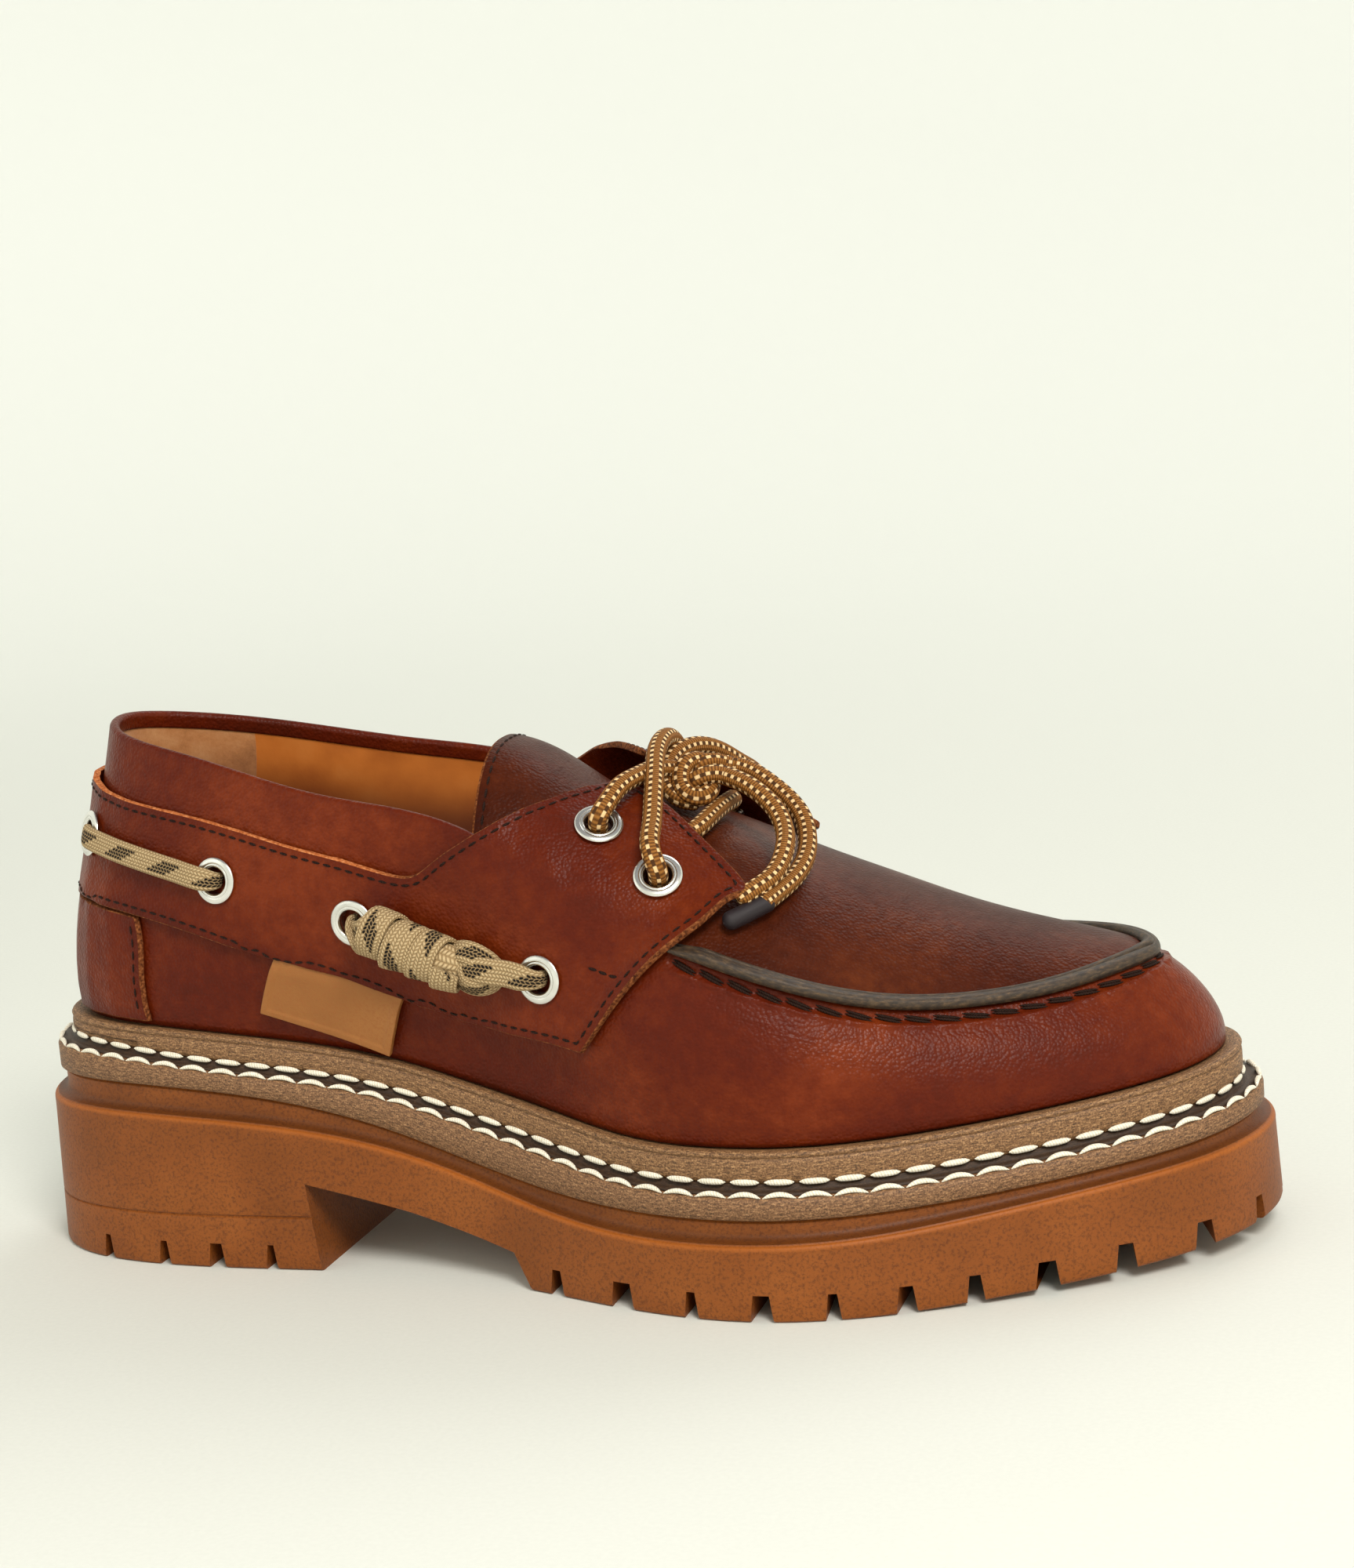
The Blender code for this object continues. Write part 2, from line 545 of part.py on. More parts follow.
FLAP_SET_BACK = {-1: 0.0, 1: 0.06}            # ribs that the far flap lies further back
LOOSE_FROM, LOOSE_TO = 0.75, 1.4    # q between which it leaves the foot
STIFFENING = 5
SEATING_ROUNDS = 8
STIFF_SHARE = 0.5      # of its neighbour's push that a point of a sheet follows


def even_steps(table, count):
    """Places at even steps of length along a short table of points."""
    table = np.asarray(table, float)
    run = np.concatenate([[0], np.cumsum(np.linalg.norm(np.diff(table, axis=0), axis=1))])
    at = np.linspace(0, run[-1], count)
    return np.stack([np.interp(at, run, table[:, c]) for c in range(2)], 1)


def band_places(sign):
    """Rib and q over half of the band, heel to lacing: straight columns, then the flap's patch."""
    ribs = np.linspace(0, BAND_LOW[-1][0], BAND_COLUMNS + 1)
    low = natural(*zip(*BAND_LOW))(ribs)
    top = natural(*zip(*BAND_TOP))(ribs)
    b = np.linspace(0, 1, BAND_ROWS + 1)[None, :]
    plain = np.stack([np.broadcast_to(ribs[:, None], (len(ribs), BAND_ROWS + 1)),
                      low[:, None] * (1 - b) + top[:, None] * b], -1)
    lower, upper = even_steps(FLAP_LOW, FLAP_COLUMNS + 1), even_steps(FLAP_TOP, FLAP_COLUMNS + 1)
    a = np.linspace(0, 1, FLAP_COLUMNS + 1)[:, None, None]
    c = np.linspace(0, 1, BAND_ROWS + 1)[None, :, None]
    left, right = plain[-1][None], np.array(FLAP_FRONT)[None]
    for edge in (lower, upper, right):
        share = np.clip((edge[..., 0] - left[0, 0, 0]) / 1.2, 0, 1)
        edge[..., 0] -= FLAP_SET_BACK[sign] * share * share * (3 - 2 * share)
    patch = ((1 - c) * lower[:, None] + c * upper[:, None] + (1 - a) * left + a * right
             - (1 - a) * (1 - c) * lower[0] - (1 - a) * c * upper[0]
             - a * (1 - c) * lower[-1] - a * c * upper[-1])
    return np.vstack([plain, patch[1:]])


def flap_lift(rib, q, sign):
    """How far the flap stands off the foot: nothing on the side, most over the instep."""
    share = np.clip((q - LOOSE_FROM) / (LOOSE_TO - LOOSE_FROM), 0, 1)
    at_rib = np.interp(rib, (FLAP_BACK, FLAP_TIP), FLAP_LIFT[sign])
    return at_rib * share * share * (3 - 2 * share)


def off_last(rib, q, sign, distance):
    """A point so far off the last, along its normal."""
    point, small = over_last(rib, q, sign), 1e-3
    normal = np.cross(over_last(rib + small, q, sign) - point,
                      over_last(rib, q + small, sign) - point)
    normal /= np.linalg.norm(normal)
    if normal.dot(away_from_middle(point)) < 0:
        normal = -normal
    return point + distance * normal


def band_grid():
    """The band's inner sheet from one lacing edge round the heel to the other."""
    halves = []
    for sign in (-1, 1):
        where = band_places(sign)
        grid = over_last(where[..., 0], where[..., 1], sign)
        normal = grid_normals(grid, away_from_middle(grid))
        lift = OVERLAY_GAP + flap_lift(where[..., 0], where[..., 1], sign)
        grid = grid + normal * lift[..., None]
        over_seam = np.clip((where[..., 0] - 3.9) / 0.4, 0, 1)[1:-1, 1:-1, None]
        for _ in range(STIFFENING):   # the flap is one stiff sheet: it bridges the seam's ridge
            around = (grid[:-2, 1:-1] + grid[2:, 1:-1] + grid[1:-1, :-2] + grid[1:-1, 2:]) / 4
            grid[1:-1, 1:-1] += over_seam * (around - grid[1:-1, 1:-1])
            grid[1:-1, -1] += 0.5 * over_seam[:, -1] * ((grid[:-2, -1] + grid[2:, -1]) / 2
                                                        - grid[1:-1, -1])
        halves.append(grid)
    return np.vstack([halves[0][::-1], halves[1][1:]])


def seat_sheet(points, faces, body, body_points, gap):
    """Pushes a sheet of points outwards until it lies at least gap outside a body's faces."""
    points = points.copy()
    for _ in range(SEATING_ROUNDS):
        outwards = point_normals(points, faces)
        push = np.zeros(len(points))
        for face in faces:
            corners = list(face)
            samples = [(points[corners].mean(0), corners)] + [(points[k], [k]) for k in corners]
            samples += [((points[a] + points[b]) / 2, [a, b])
                        for a, b in zip(corners, corners[1:] + corners[:1])]
            for sample, moved in samples:
                near, normal, _, distance = body.find_nearest(Vector(sample))
                if distance > 12:
                    continue
                short = gap - (Vector(sample) - near).dot(normal)
                push[moved] = np.maximum(push[moved], short)
        sheet = BVHTree.FromPolygons([Vector(p) for p in points], faces)
        for point in body_points:
            near, normal, index, distance = sheet.find_nearest(Vector(point), 6.0)
            if near is None:
                continue
            short = gap + (Vector(point) - near).dot(normal)
            if short > 0 and (Vector(point) - near).length < 1.02 * abs(short - gap) + 0.01:
                moved = list(faces[index])
                push[moved] = np.maximum(push[moved], short)
        if push.max() < 0.02:
            break
        pushed = push.copy()
        for face in faces:            # a stiff sheet takes its neighbours along
            corners = list(face)
            push[corners] = np.maximum(push[corners], STIFF_SHARE * pushed[corners].max())
        points += outwards * np.minimum(push, 1.5)[:, None]
    return points


def tree_of(made):
    """A search tree of an object's faces, in the tables' millimetres."""
    points = [Vector(np.array(v.co) / MM + CENTRE) for v in made.data.vertices]
    return BVHTree.FromPolygons(points, [tuple(p.vertices) for p in made.data.polygons])


def make_side_band(upper_tree, upper_points):
    grid = band_grid()
    columns, rows = grid.shape[:2]
    points = grid.reshape(-1, 3)
    faces = grid_faces(columns, rows)
    middle = (columns // 2) * rows + rows // 2
    if point_normals(points, faces)[middle, 0] > 0:
        faces = [tuple(reversed(face)) for face in faces]
    points = seat_sheet(points, faces, upper_tree, upper_points, OVERLAY_GAP)
    return wall_object("side_band", points, halved(points, faces), OVERLAY, BROWN_LEATHER)


COUNTER_SIDE = ((0.03, 2.01), (0.21, 1.945), (0.37, 1.86), (0.455, 1.766))   # q, rib of its edge
COUNTER_COLUMNS, COUNTER_ROWS = 12, 5
COUNTER_THICKNESS = 1.2
UNDER_BAND = 0.02      # q that the counter and the tab stop short of the band


def make_heel_counter(upper_tree, upper_points):
    reach = natural(*zip(*COUNTER_SIDE))
    band_low = natural(*zip(*BAND_LOW))
    rows = np.linspace(0, 1, COUNTER_ROWS + 1)
    grid = np.zeros((COUNTER_COLUMNS + 1, COUNTER_ROWS + 1, 3))
    for i, across_heel in enumerate(np.linspace(-1, 1, COUNTER_COLUMNS + 1)):
        top = band_low(abs(across_heel) * COUNTER_SIDE[-1][1]) - UNDER_BAND
        q = COUNTER_SIDE[0][0] + rows * (top - COUNTER_SIDE[0][0])
        rib = abs(across_heel) * reach(np.minimum(q, COUNTER_SIDE[-1][0]))
        grid[i] = over_last(rib, q, -1 if across_heel < 0 else 1)
    points = grid.reshape(-1, 3)
    faces = grid_faces(COUNTER_COLUMNS + 1, COUNTER_ROWS + 1)
    if point_normals(points, faces)[len(points) // 2, 0] > 0:
        faces = [tuple(reversed(face)) for face in faces]
    points = seat_sheet(points, faces, upper_tree, upper_points, OVERLAY_GAP)
    return wall_object("heel_counter", points, faces, COUNTER_THICKNESS, BROWN_LEATHER)


# the rubber tab sewn under the band: rib and q of its corners, heel end first
TAB_CORNERS = (((2.83, 0.356), (2.77, 0.134)), ((3.58, 0.295), (3.47, 0.034)))
TAB = 1.8
TAB_STEPS = 6


def make_side_tab(upper_tree, upper_points):
    a = np.linspace(0, 1, TAB_STEPS + 1)[:, None, None]
    b = np.linspace(0, 1, 4)[None, :, None]
    (p00, p01), (p10, p11) = np.asarray(TAB_CORNERS)
    where = (1 - a) * ((1 - b) * p00 + b * p01) + a * ((1 - b) * p10 + b * p11)
    where[:, 0, 1] = natural(*zip(*BAND_LOW))(where[:, 0, 0]) - UNDER_BAND
    grid = over_last(where[..., 0], where[..., 1], -1)
    points = grid.reshape(-1, 3)
    faces = grid_faces(TAB_STEPS + 1, 4)
    if point_normals(points, faces)[4, 1] > 0:
        faces = [tuple(reversed(face)) for face in faces]
    points = seat_sheet(points, faces, upper_tree, upper_points, OVERLAY_GAP)
    return wall_object("side_tab", points, faces, TAB, TAB_RUBBER)


# the raised seam round the apron: a bar standing on the edge
SEAM_GAP = 0.7
SEAM_REACH = 4.35      # ribs back from the tip on each side
SEAM_SECTION = ((-1.9, 0.0), (1.9, 0.0), (1.9, 1.2), (1.0, 1.8), (-1.0, 1.8), (-1.9, 1.2))


def make_apron_seam(points, faces):
    s = fore_s[fore_s <= SEAM_REACH]
    order = [FORE_STEPS - j for j in range(len(s))][::-1] + \
            [FORE_STEPS + j for j in range(1, len(s))]
    tops = [k * (SIDE_ROWS + 1) + SIDE_ROWS for k in order]
    path, up = points[tops], point_normals(points, faces)[tops]
    along = np.gradient(path, axis=0)
    along /= np.linalg.norm(along, axis=1)[:, None]
    up -= np.sum(up * along, axis=1)[:, None] * along
    up /= np.linalg.norm(up, axis=1)[:, None]
    beside = np.cross(along, up)
    section = np.array(SEAM_SECTION)
    rings = (path[:, None] + beside[:, None] * section[None, :, :1]
             + up[:, None] * (section[None, :, 1:] + SEAM_GAP))
    return mesh_object("apron_seam", rings.reshape(-1, 3), tube_faces(len(path), len(section)),
                       DARK_LEATHER)


# ---- eyelets and laces -----------------------------------------------------------------
# rib and q on the band: four along the side, two at the lacing
EYELETS = ((1.02, 0.704), (2.36, 0.642), (3.304, 0.59), (4.63, 0.623), (4.92, 1.32), (5.36, 1.215))
FAR_LAST_EYELET = (5.26, 1.21)
EYELET_HOLE = 3.1      # inner radius
EYELET_BARREL = 3.6
EYELET_RIM = 5.2
BAND_HOLE = 4.0
EYELET_SECTION = (     # radius, height over the band
    (EYELET_HOLE, -1.5), (EYELET_BARREL, -1.5), (EYELET_BARREL, GAP), (EYELET_RIM, GAP),
    (EYELET_RIM, GAP + 0.5), (EYELET_HOLE + 0.6, GAP + 1.0))
EYELET_SIDES = 10
RIM_LIFT = 0.15         # over the highest point of the band under the rim


def side_axes(normal):
    first = np.cross([0, 0, 1.0], normal)
    first /= np.linalg.norm(first)
    return first, np.cross(normal, first)


def bedded(centre, normal, band_tree):
    """The plane that an eyelet's rim takes on a curved band, resting on its highest point."""
    first, second = side_axes(normal)
    hits = []
    for radius in (BAND_HOLE, EYELET_RIM):
        for turn in np.linspace(0, 2 * math.pi, EYELET_SIDES, endpoint=False):
            above = centre + 4 * normal + radius * (math.cos(turn) * first + math.sin(turn) * second)
            hit, _, _, _ = band_tree.ray_cast(Vector(above), Vector(-normal), 8.0)
            if hit is not None:
                hits.append(np.array(hit))
    hits = np.array(hits)
    middle = hits.mean(0)
    _, _, axes = np.linalg.svd(hits - middle)
    plane = axes[2] if axes[2].dot(normal) > 0 else -axes[2]
    return middle + plane * (np.max((hits - middle) @ plane) + RIM_LIFT), plane


def eyelet_frames(band_tree):
    """Where each eyelet sits: its name, centre on the band's face, outward and sideways axes."""
    frames = {}
    for sign, letter in ((-1, "l"), (1, "m")):
        places = EYELETS if sign < 0 else (*EYELETS[:-1], FAR_LAST_EYELET)
        for index, (rib, q) in enumerate(places, 1):
            lift = OVERLAY_GAP + OVERLAY + flap_lift(rib, q, sign)
            guess = off_last(rib, q, sign, lift + 1.0)
            centre, normal, _, _ = band_tree.find_nearest(Vector(guess))
            frames[f"{letter}{index}"] = bedded(np.array(centre), np.array(normal), band_tree)
    return frames


def make_eyelet(name, centre, normal):
    first, second = side_axes(normal)
    turn = np.linspace(0, 2 * math.pi, EYELET_SIDES, endpoint=False)
    spokes = np.cos(turn)[:, None] * first + np.sin(turn)[:, None] * second
    points = [centre + r * spoke + h * normal for spoke in spokes for r, h in EYELET_SECTION]
    n = len(EYELET_SECTION)
    faces = [(i * n + j, i * n + (j + 1) % n, ((i + 1) % EYELET_SIDES) * n + (j + 1) % n,
              ((i + 1) % EYELET_SIDES) * n + j) for i in range(EYELET_SIDES) for j in range(n)]
    return mesh_object(name, points, faces, NICKEL)


def make_hole(name, centre, normal):
    first, second = side_axes(normal)
    turn = np.linspace(0, 2 * math.pi, EYELET_SIDES, endpoint=False)
    ring = np.cos(turn)[:, None] * first + np.sin(turn)[:, None] * second
    points = np.vstack([centre + BAND_HOLE * ring + h * normal for h in (-5.0, 5.0)])
    made = mesh_object(name, points, tube_faces(2, EYELET_SIDES), NICKEL)
    made.hide_render, made.display_type = True, "WIRE"
    return made


def swept(name, path, widths, heights, face_out, sides, finish):
    """A tube of oval section: path points, half width and half height at each, its flat's normal."""
    path = np.asarray(path, float)
    along = np.gradient(path, axis=0)
    along /= np.linalg.norm(along, axis=1)[:, None]
    up = face_out - np.sum(face_out * along, axis=1)[:, None] * along
    up /= np.linalg.norm(up, axis=1)[:, None]
    beside = np.cross(along, up)
    turn = np.linspace(0, 2 * math.pi, sides, endpoint=False)
    rings = (path[:, None]
             + beside[:, None] * (np.cos(turn)[None, :] * np.asarray(widths)[:, None])[..., None]
             + up[:, None] * (np.sin(turn)[None, :] * np.asarray(heights)[:, None])[..., None])
    return mesh_object(name, rings.reshape(-1, 3), tube_faces(len(path), sides), finish)


def round_tube(name, points, count, finish, radius=LACE / 2):
    """A round cord along a smooth curve through its points."""
    path = smooth_path(points, count)
    along = np.gradient(path, axis=0)
    along /= np.linalg.norm(along, axis=1)[:, None]
    up = np.zeros_like(path)
    axis = np.array([0, 0, 1.0]) if abs(along[0, 2]) < 0.9 else np.array([0, 1.0, 0])
    for i, direction in enumerate(along):     # carries one axis along without twist
        axis = axis - axis.dot(direction) * direction
        axis /= np.linalg.norm(axis)
        up[i] = axis
    even = np.full(count, radius)
    return swept(name, path, even, even, up, 8, finish)


def loose_cord(name, points, finish):
    """A free cord: a bevelled curve on points of a smooth path, with its ends filled."""
    run = np.sum(np.linalg.norm(np.diff(np.asarray(points, float), axis=0), axis=1))
    path = (smooth_path(points, round(run / (2.0 * LACE)) + 1) - CENTRE) * MM
    curve = bpy.data.curves.new(name, "CURVE")
    curve.dimensions = "3D"
    curve.bevel_depth, curve.bevel_resolution, curve.use_fill_caps = LACE / 2 * MM, 2, True
    spline = curve.splines.new("POLY")
    spline.points.add(len(path) - 1)
    for point, place_ in zip(spline.points, path):
        point.co = (*place_, 1)
    made = bpy.data.objects.new(name, curve)
    bpy.context.collection.objects.link(made)
    curve.materials.append(finish)
    return made


SIDE_LACE = (2.5, 1.25)       # half width and half thickness of the flat side lace
SIDE_LACE_RISE = 3.45         # height of its middle over the band
EYELET_LACE = 1.7             # half width where it is gathered in an eyelet
SIDE_LACE_ENDS = -1.2         # how deep its ends stand in the eyelets
BARREL = 5.7                  # half width of the wrapped knot on the front side lace
BARREL_FROM, BARREL_TO = 0.10, 0.72


def side_lace_path(first, second, band_tree, rise):
    """From inside one eyelet out, along over the band, and into the next."""
    (p, n), (q, m) = first, second
    ahead = (q - p) / np.linalg.norm(q - p)
    points = [p + SIDE_LACE_ENDS * n, p + 0.8 * n, p + 2.8 * n + 1.6 * ahead]
    for a in np.linspace(0.18, 0.82, 5):
        guess = (1 - a) * p + a * q
        near, normal, _, _ = band_tree.find_nearest(Vector(guess + 6.0 * ((1 - a) * n + a * m)))
        points.append(np.array(near) + rise(a) * np.array(normal))
    points += [q + 2.8 * m - 1.6 * ahead, q + 0.8 * m, q + SIDE_LACE_ENDS * m]
    return np.array(points)


def make_side_laces(frames, band_tree):
    for letter in ("l", "m"):
        first, second = frames[f"{letter}1"], frames[f"{letter}2"]
        points = side_lace_path(first, second, band_tree, lambda a: SIDE_LACE_RISE)
        path = smooth_path(points, 16)
        share = np.linspace(0, 1, len(path))
        out = (1 - share[:, None]) * first[1] + share[:, None] * second[1]
        flat = np.clip(np.minimum(share, 1 - share) / 0.15, 0, 1)
        swept(f"side_lace_rear_{letter}", path, EYELET_LACE + (SIDE_LACE[0] - EYELET_LACE) * flat,
              SIDE_LACE[1] * np.ones(len(path)), out, 6, TAN_LACE)

        def barrel(a):
            inside = np.clip((a - BARREL_FROM) / (BARREL_TO - BARREL_FROM), 0, 1)
            return np.sin(math.pi * inside)**0.45

        def rise(a):
            return SIDE_LACE_RISE + (BARREL * 0.76 - SIDE_LACE_RISE + GAP + 0.6) * barrel(a)
        first, second = frames[f"{letter}3"], frames[f"{letter}4"]
        points = side_lace_path(first, second, band_tree, rise)
        path = smooth_path(points, 18)
        share = np.linspace(0, 1, len(path))
        fat = barrel(share)
        wraps = 1 + 0.06 * np.cos(2 * math.pi * 4 * (share - BARREL_FROM) / (BARREL_TO - BARREL_FROM))
        wide = EYELET_LACE + (BARREL * wraps - EYELET_LACE) * fat
        high = SIDE_LACE[1] + (BARREL * 0.76 * wraps - SIDE_LACE[1]) * fat
        out = (1 - share[:, None]) * first[1] + share[:, None] * second[1]
        swept(f"side_lace_knotted_{letter}", path, wide, high, out, 8, TAN_LACE)


# the round front lace: x, y, z of its routes, chosen by hand; "l5" and so on are eyelets
STRANDS = {
    "over_from_l6": ("l6", (163.0, -38.2, 94.0), (161.4, -32.0, 98.2), (160.0, -25.2, 102.0),
                     (158.4, -17.6, 106.9), (156.6, -9.0, 110.9), (156.2, -2.0, 112.4),
                     (156.2, 4.0, 111.4), (156.0, 9.4, 107.8)),
    "over_from_m6": ("m6", (165.0, 34.0, 96.0), (168.4, 29.4, 98.6), (169.9, 23.6, 100.4),
                     (169.4, 18.2, 102.6), (168.2, 12.8, 104.8), (165.8, 7.7, 107.4),
                     (162.7, 2.9, 109.2), (160.2, -2.6, 109.2), (158.8, -7.4, 107.7),
                     (159.2, -11.6, 104.8), (160.8, -14.0, 101.8)),
    "to_knot_from_l5": ("l5", (151.2, -29.8, 103.2), (152.8, -24.6, 106.0), (154.8, -18.4, 107.0),
                        (156.6, -11.6, 107.2), (159.0, -6.6, 106.2), (161.0, -3.2, 105.0)),
    "to_knot_from_m5": ("m5", (152.4, 28.4, 103.8), (154.6, 25.4, 105.8), (156.2, 20.6, 106.8),
                        (157.2, 15.2, 107.4), (158.4, 10.0, 107.0), (159.6, 5.8, 106.0),
                        (161.0, 2.8, 105.0)),
}
KNOT_CENTRE = (166.6, -1.0, 102.8)
KNOT_RADII = (5.2, 5.6, 4.4)
LACE_ENDS = {
    "front_lace_end_outer": ((172.5, 1.2, 104.8), (176.4, -0.2, 104.0), (180.2, -2.0, 101.9),
                             (186.0, -5.6, 96.5), (189.3, -10.2, 90.6), (189.6, -17.0, 86.0),
                             (187.8, -25.2, 83.0), (184.4, -33.0, 80.6)),
    "front_lace_end_inner": ((171.2, -5.4, 103.4), (175.8, -8.4, 102.4), (179.8, -10.6, 100.1),
                             (184.6, -14.6, 96.2), (187.0, -20.6, 92.0), (186.8, -27.2, 88.4),
                             (184.8, -33.0, 86.0)),
}
AGLET = (((184.1, -33.5, 80.4), (180.2, -38.4, 79.0), (176.0, -42.4, 77.4)), 2.0)


def make_front_lace(frames):
    tubes = []
    for name, (start, *points) in STRANDS.items():
        centre, normal = frames[start]
        route = [centre - 1.0 * normal, centre + 3.0 * normal, *points]
        tubes.append(round_tube(name, route, 14, BROWN_LACE))
    lace = tubes[0]
    lace.name = "front_lace_crossings"
    for other in tubes[1:]:
        join = lace.modifiers.new(other.name, "BOOLEAN")
        join.operation, join.solver, join.object = "UNION", "EXACT", other
        other.hide_render, other.display_type = True, "WIRE"
    ball = bmesh.new()
    bmesh.ops.create_uvsphere(ball, u_segments=12, v_segments=8, radius=1.0)
    points = np.array([v.co[:] for v in ball.verts]) * KNOT_RADII + KNOT_CENTRE
    faces = [tuple(v.index for v in f.verts) for f in ball.faces]
    ball.free()
    mesh_object("front_lace_knot", points, faces, BROWN_LACE)
    for name, points in LACE_ENDS.items():
        loose_cord(name, points, BROWN_LACE)
    points, radius = AGLET
    round_tube("front_lace_aglet", points, 5, AGLET_GREY, radius)


# ---- the shoe --------------------------------------------------------------------------
for old in list(bpy.data.objects):
    bpy.data.objects.remove(old)

RUBBER = material("gum rubber", (0.33, 0.13, 0.035), 0.75)
TAB_RUBBER = material("tan rubber of the tab", (0.5, 0.24, 0.1), 0.7)
STACKED = material("stacked leather board", (0.14, 0.075, 0.045), 0.7)
LINING = material("tan lining leather", (0.52, 0.22, 0.08), 0.6)
BROWN_LEATHER = material("red-brown pull-up leather", (0.17, 0.04, 0.02), 0.4)
DARK_LEATHER = material("dark brown pull-up leather", (0.07, 0.025, 0.015), 0.4)
NICKEL = material("nickel", (0.8, 0.8, 0.78), 0.25, 1.0)
TAN_LACE = material("tan braided lace", (0.38, 0.26, 0.14), 0.85)
BROWN_LACE = material("brown braided lace", (0.2, 0.11, 0.04), 0.85)
AGLET_GREY = material("aglet sleeve", (0.05, 0.04, 0.04), 0.35)

edge_points = outline(np.linspace(0, RIB_AT[-1], 2000), FLARE)
CENTRE = np.array([*(edge_points.min(0) + edge_points.max(0)) / 2, 0.0])

make_outsole()
make_midsole()
make_storm_welt()
make_insole()
upper, upper_points, upper_faces = make_upper()
make_tongue()
upper_tree = tree_of(upper)
band = make_side_band(upper_tree, upper_points)
make_heel_counter(upper_tree, upper_points)
make_side_tab(upper_tree, upper_points)
make_apron_seam(upper_points, upper_faces)
band_tree = tree_of(band)
eyelets = eyelet_frames(band_tree)
for key, (eyelet_centre, eyelet_normal) in eyelets.items():
    make_eyelet(f"eyelet_{key}", eyelet_centre, eyelet_normal)
cut(band, [make_hole(f"hole_{key}", *frame) for key, frame in eyelets.items()], "eyelet_holes")
make_side_laces(eyelets, band_tree)
make_front_lace(eyelets)
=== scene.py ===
# %% [markdown]
# # A leather deck loafer on a lugged gum-rubber sole
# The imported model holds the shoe's solids at their true size and place. This lesson
# dresses it: smooth leather, thread, braided laces, nickel eyelets and speckled rubber.
# Each piece is worked out as a whole array of points, then put into a mesh in one step.

# %% Load the frame
import json
import math
import bpy
import numpy as np
from mathutils import Matrix, Vector
from mathutils.bvhtree import BVHTree

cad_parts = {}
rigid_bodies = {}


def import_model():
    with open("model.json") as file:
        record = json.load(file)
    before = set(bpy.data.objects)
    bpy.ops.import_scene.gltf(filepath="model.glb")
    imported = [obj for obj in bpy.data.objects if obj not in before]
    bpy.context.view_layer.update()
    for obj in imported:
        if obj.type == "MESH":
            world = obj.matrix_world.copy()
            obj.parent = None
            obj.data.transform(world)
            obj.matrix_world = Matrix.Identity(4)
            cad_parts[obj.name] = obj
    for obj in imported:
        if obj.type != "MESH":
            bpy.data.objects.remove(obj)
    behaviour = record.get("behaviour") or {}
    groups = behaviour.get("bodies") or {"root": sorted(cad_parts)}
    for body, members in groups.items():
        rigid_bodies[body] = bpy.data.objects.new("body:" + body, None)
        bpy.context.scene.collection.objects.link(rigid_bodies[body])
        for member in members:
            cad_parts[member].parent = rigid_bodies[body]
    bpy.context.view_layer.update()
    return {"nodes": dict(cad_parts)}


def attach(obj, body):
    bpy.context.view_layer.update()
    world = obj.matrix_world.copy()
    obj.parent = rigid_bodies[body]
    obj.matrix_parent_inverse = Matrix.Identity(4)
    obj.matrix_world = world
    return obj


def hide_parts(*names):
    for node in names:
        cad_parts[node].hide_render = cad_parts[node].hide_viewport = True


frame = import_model()

# %% [markdown]
# ## The last
# A shoe is built on a last, a solid foot form. Here it is a short table: one row for each
# rib round the shoe, from the back of the heel along the little-toe side to the tip and
# home along the big-toe side. Smooth closed curves through the rows give every form.

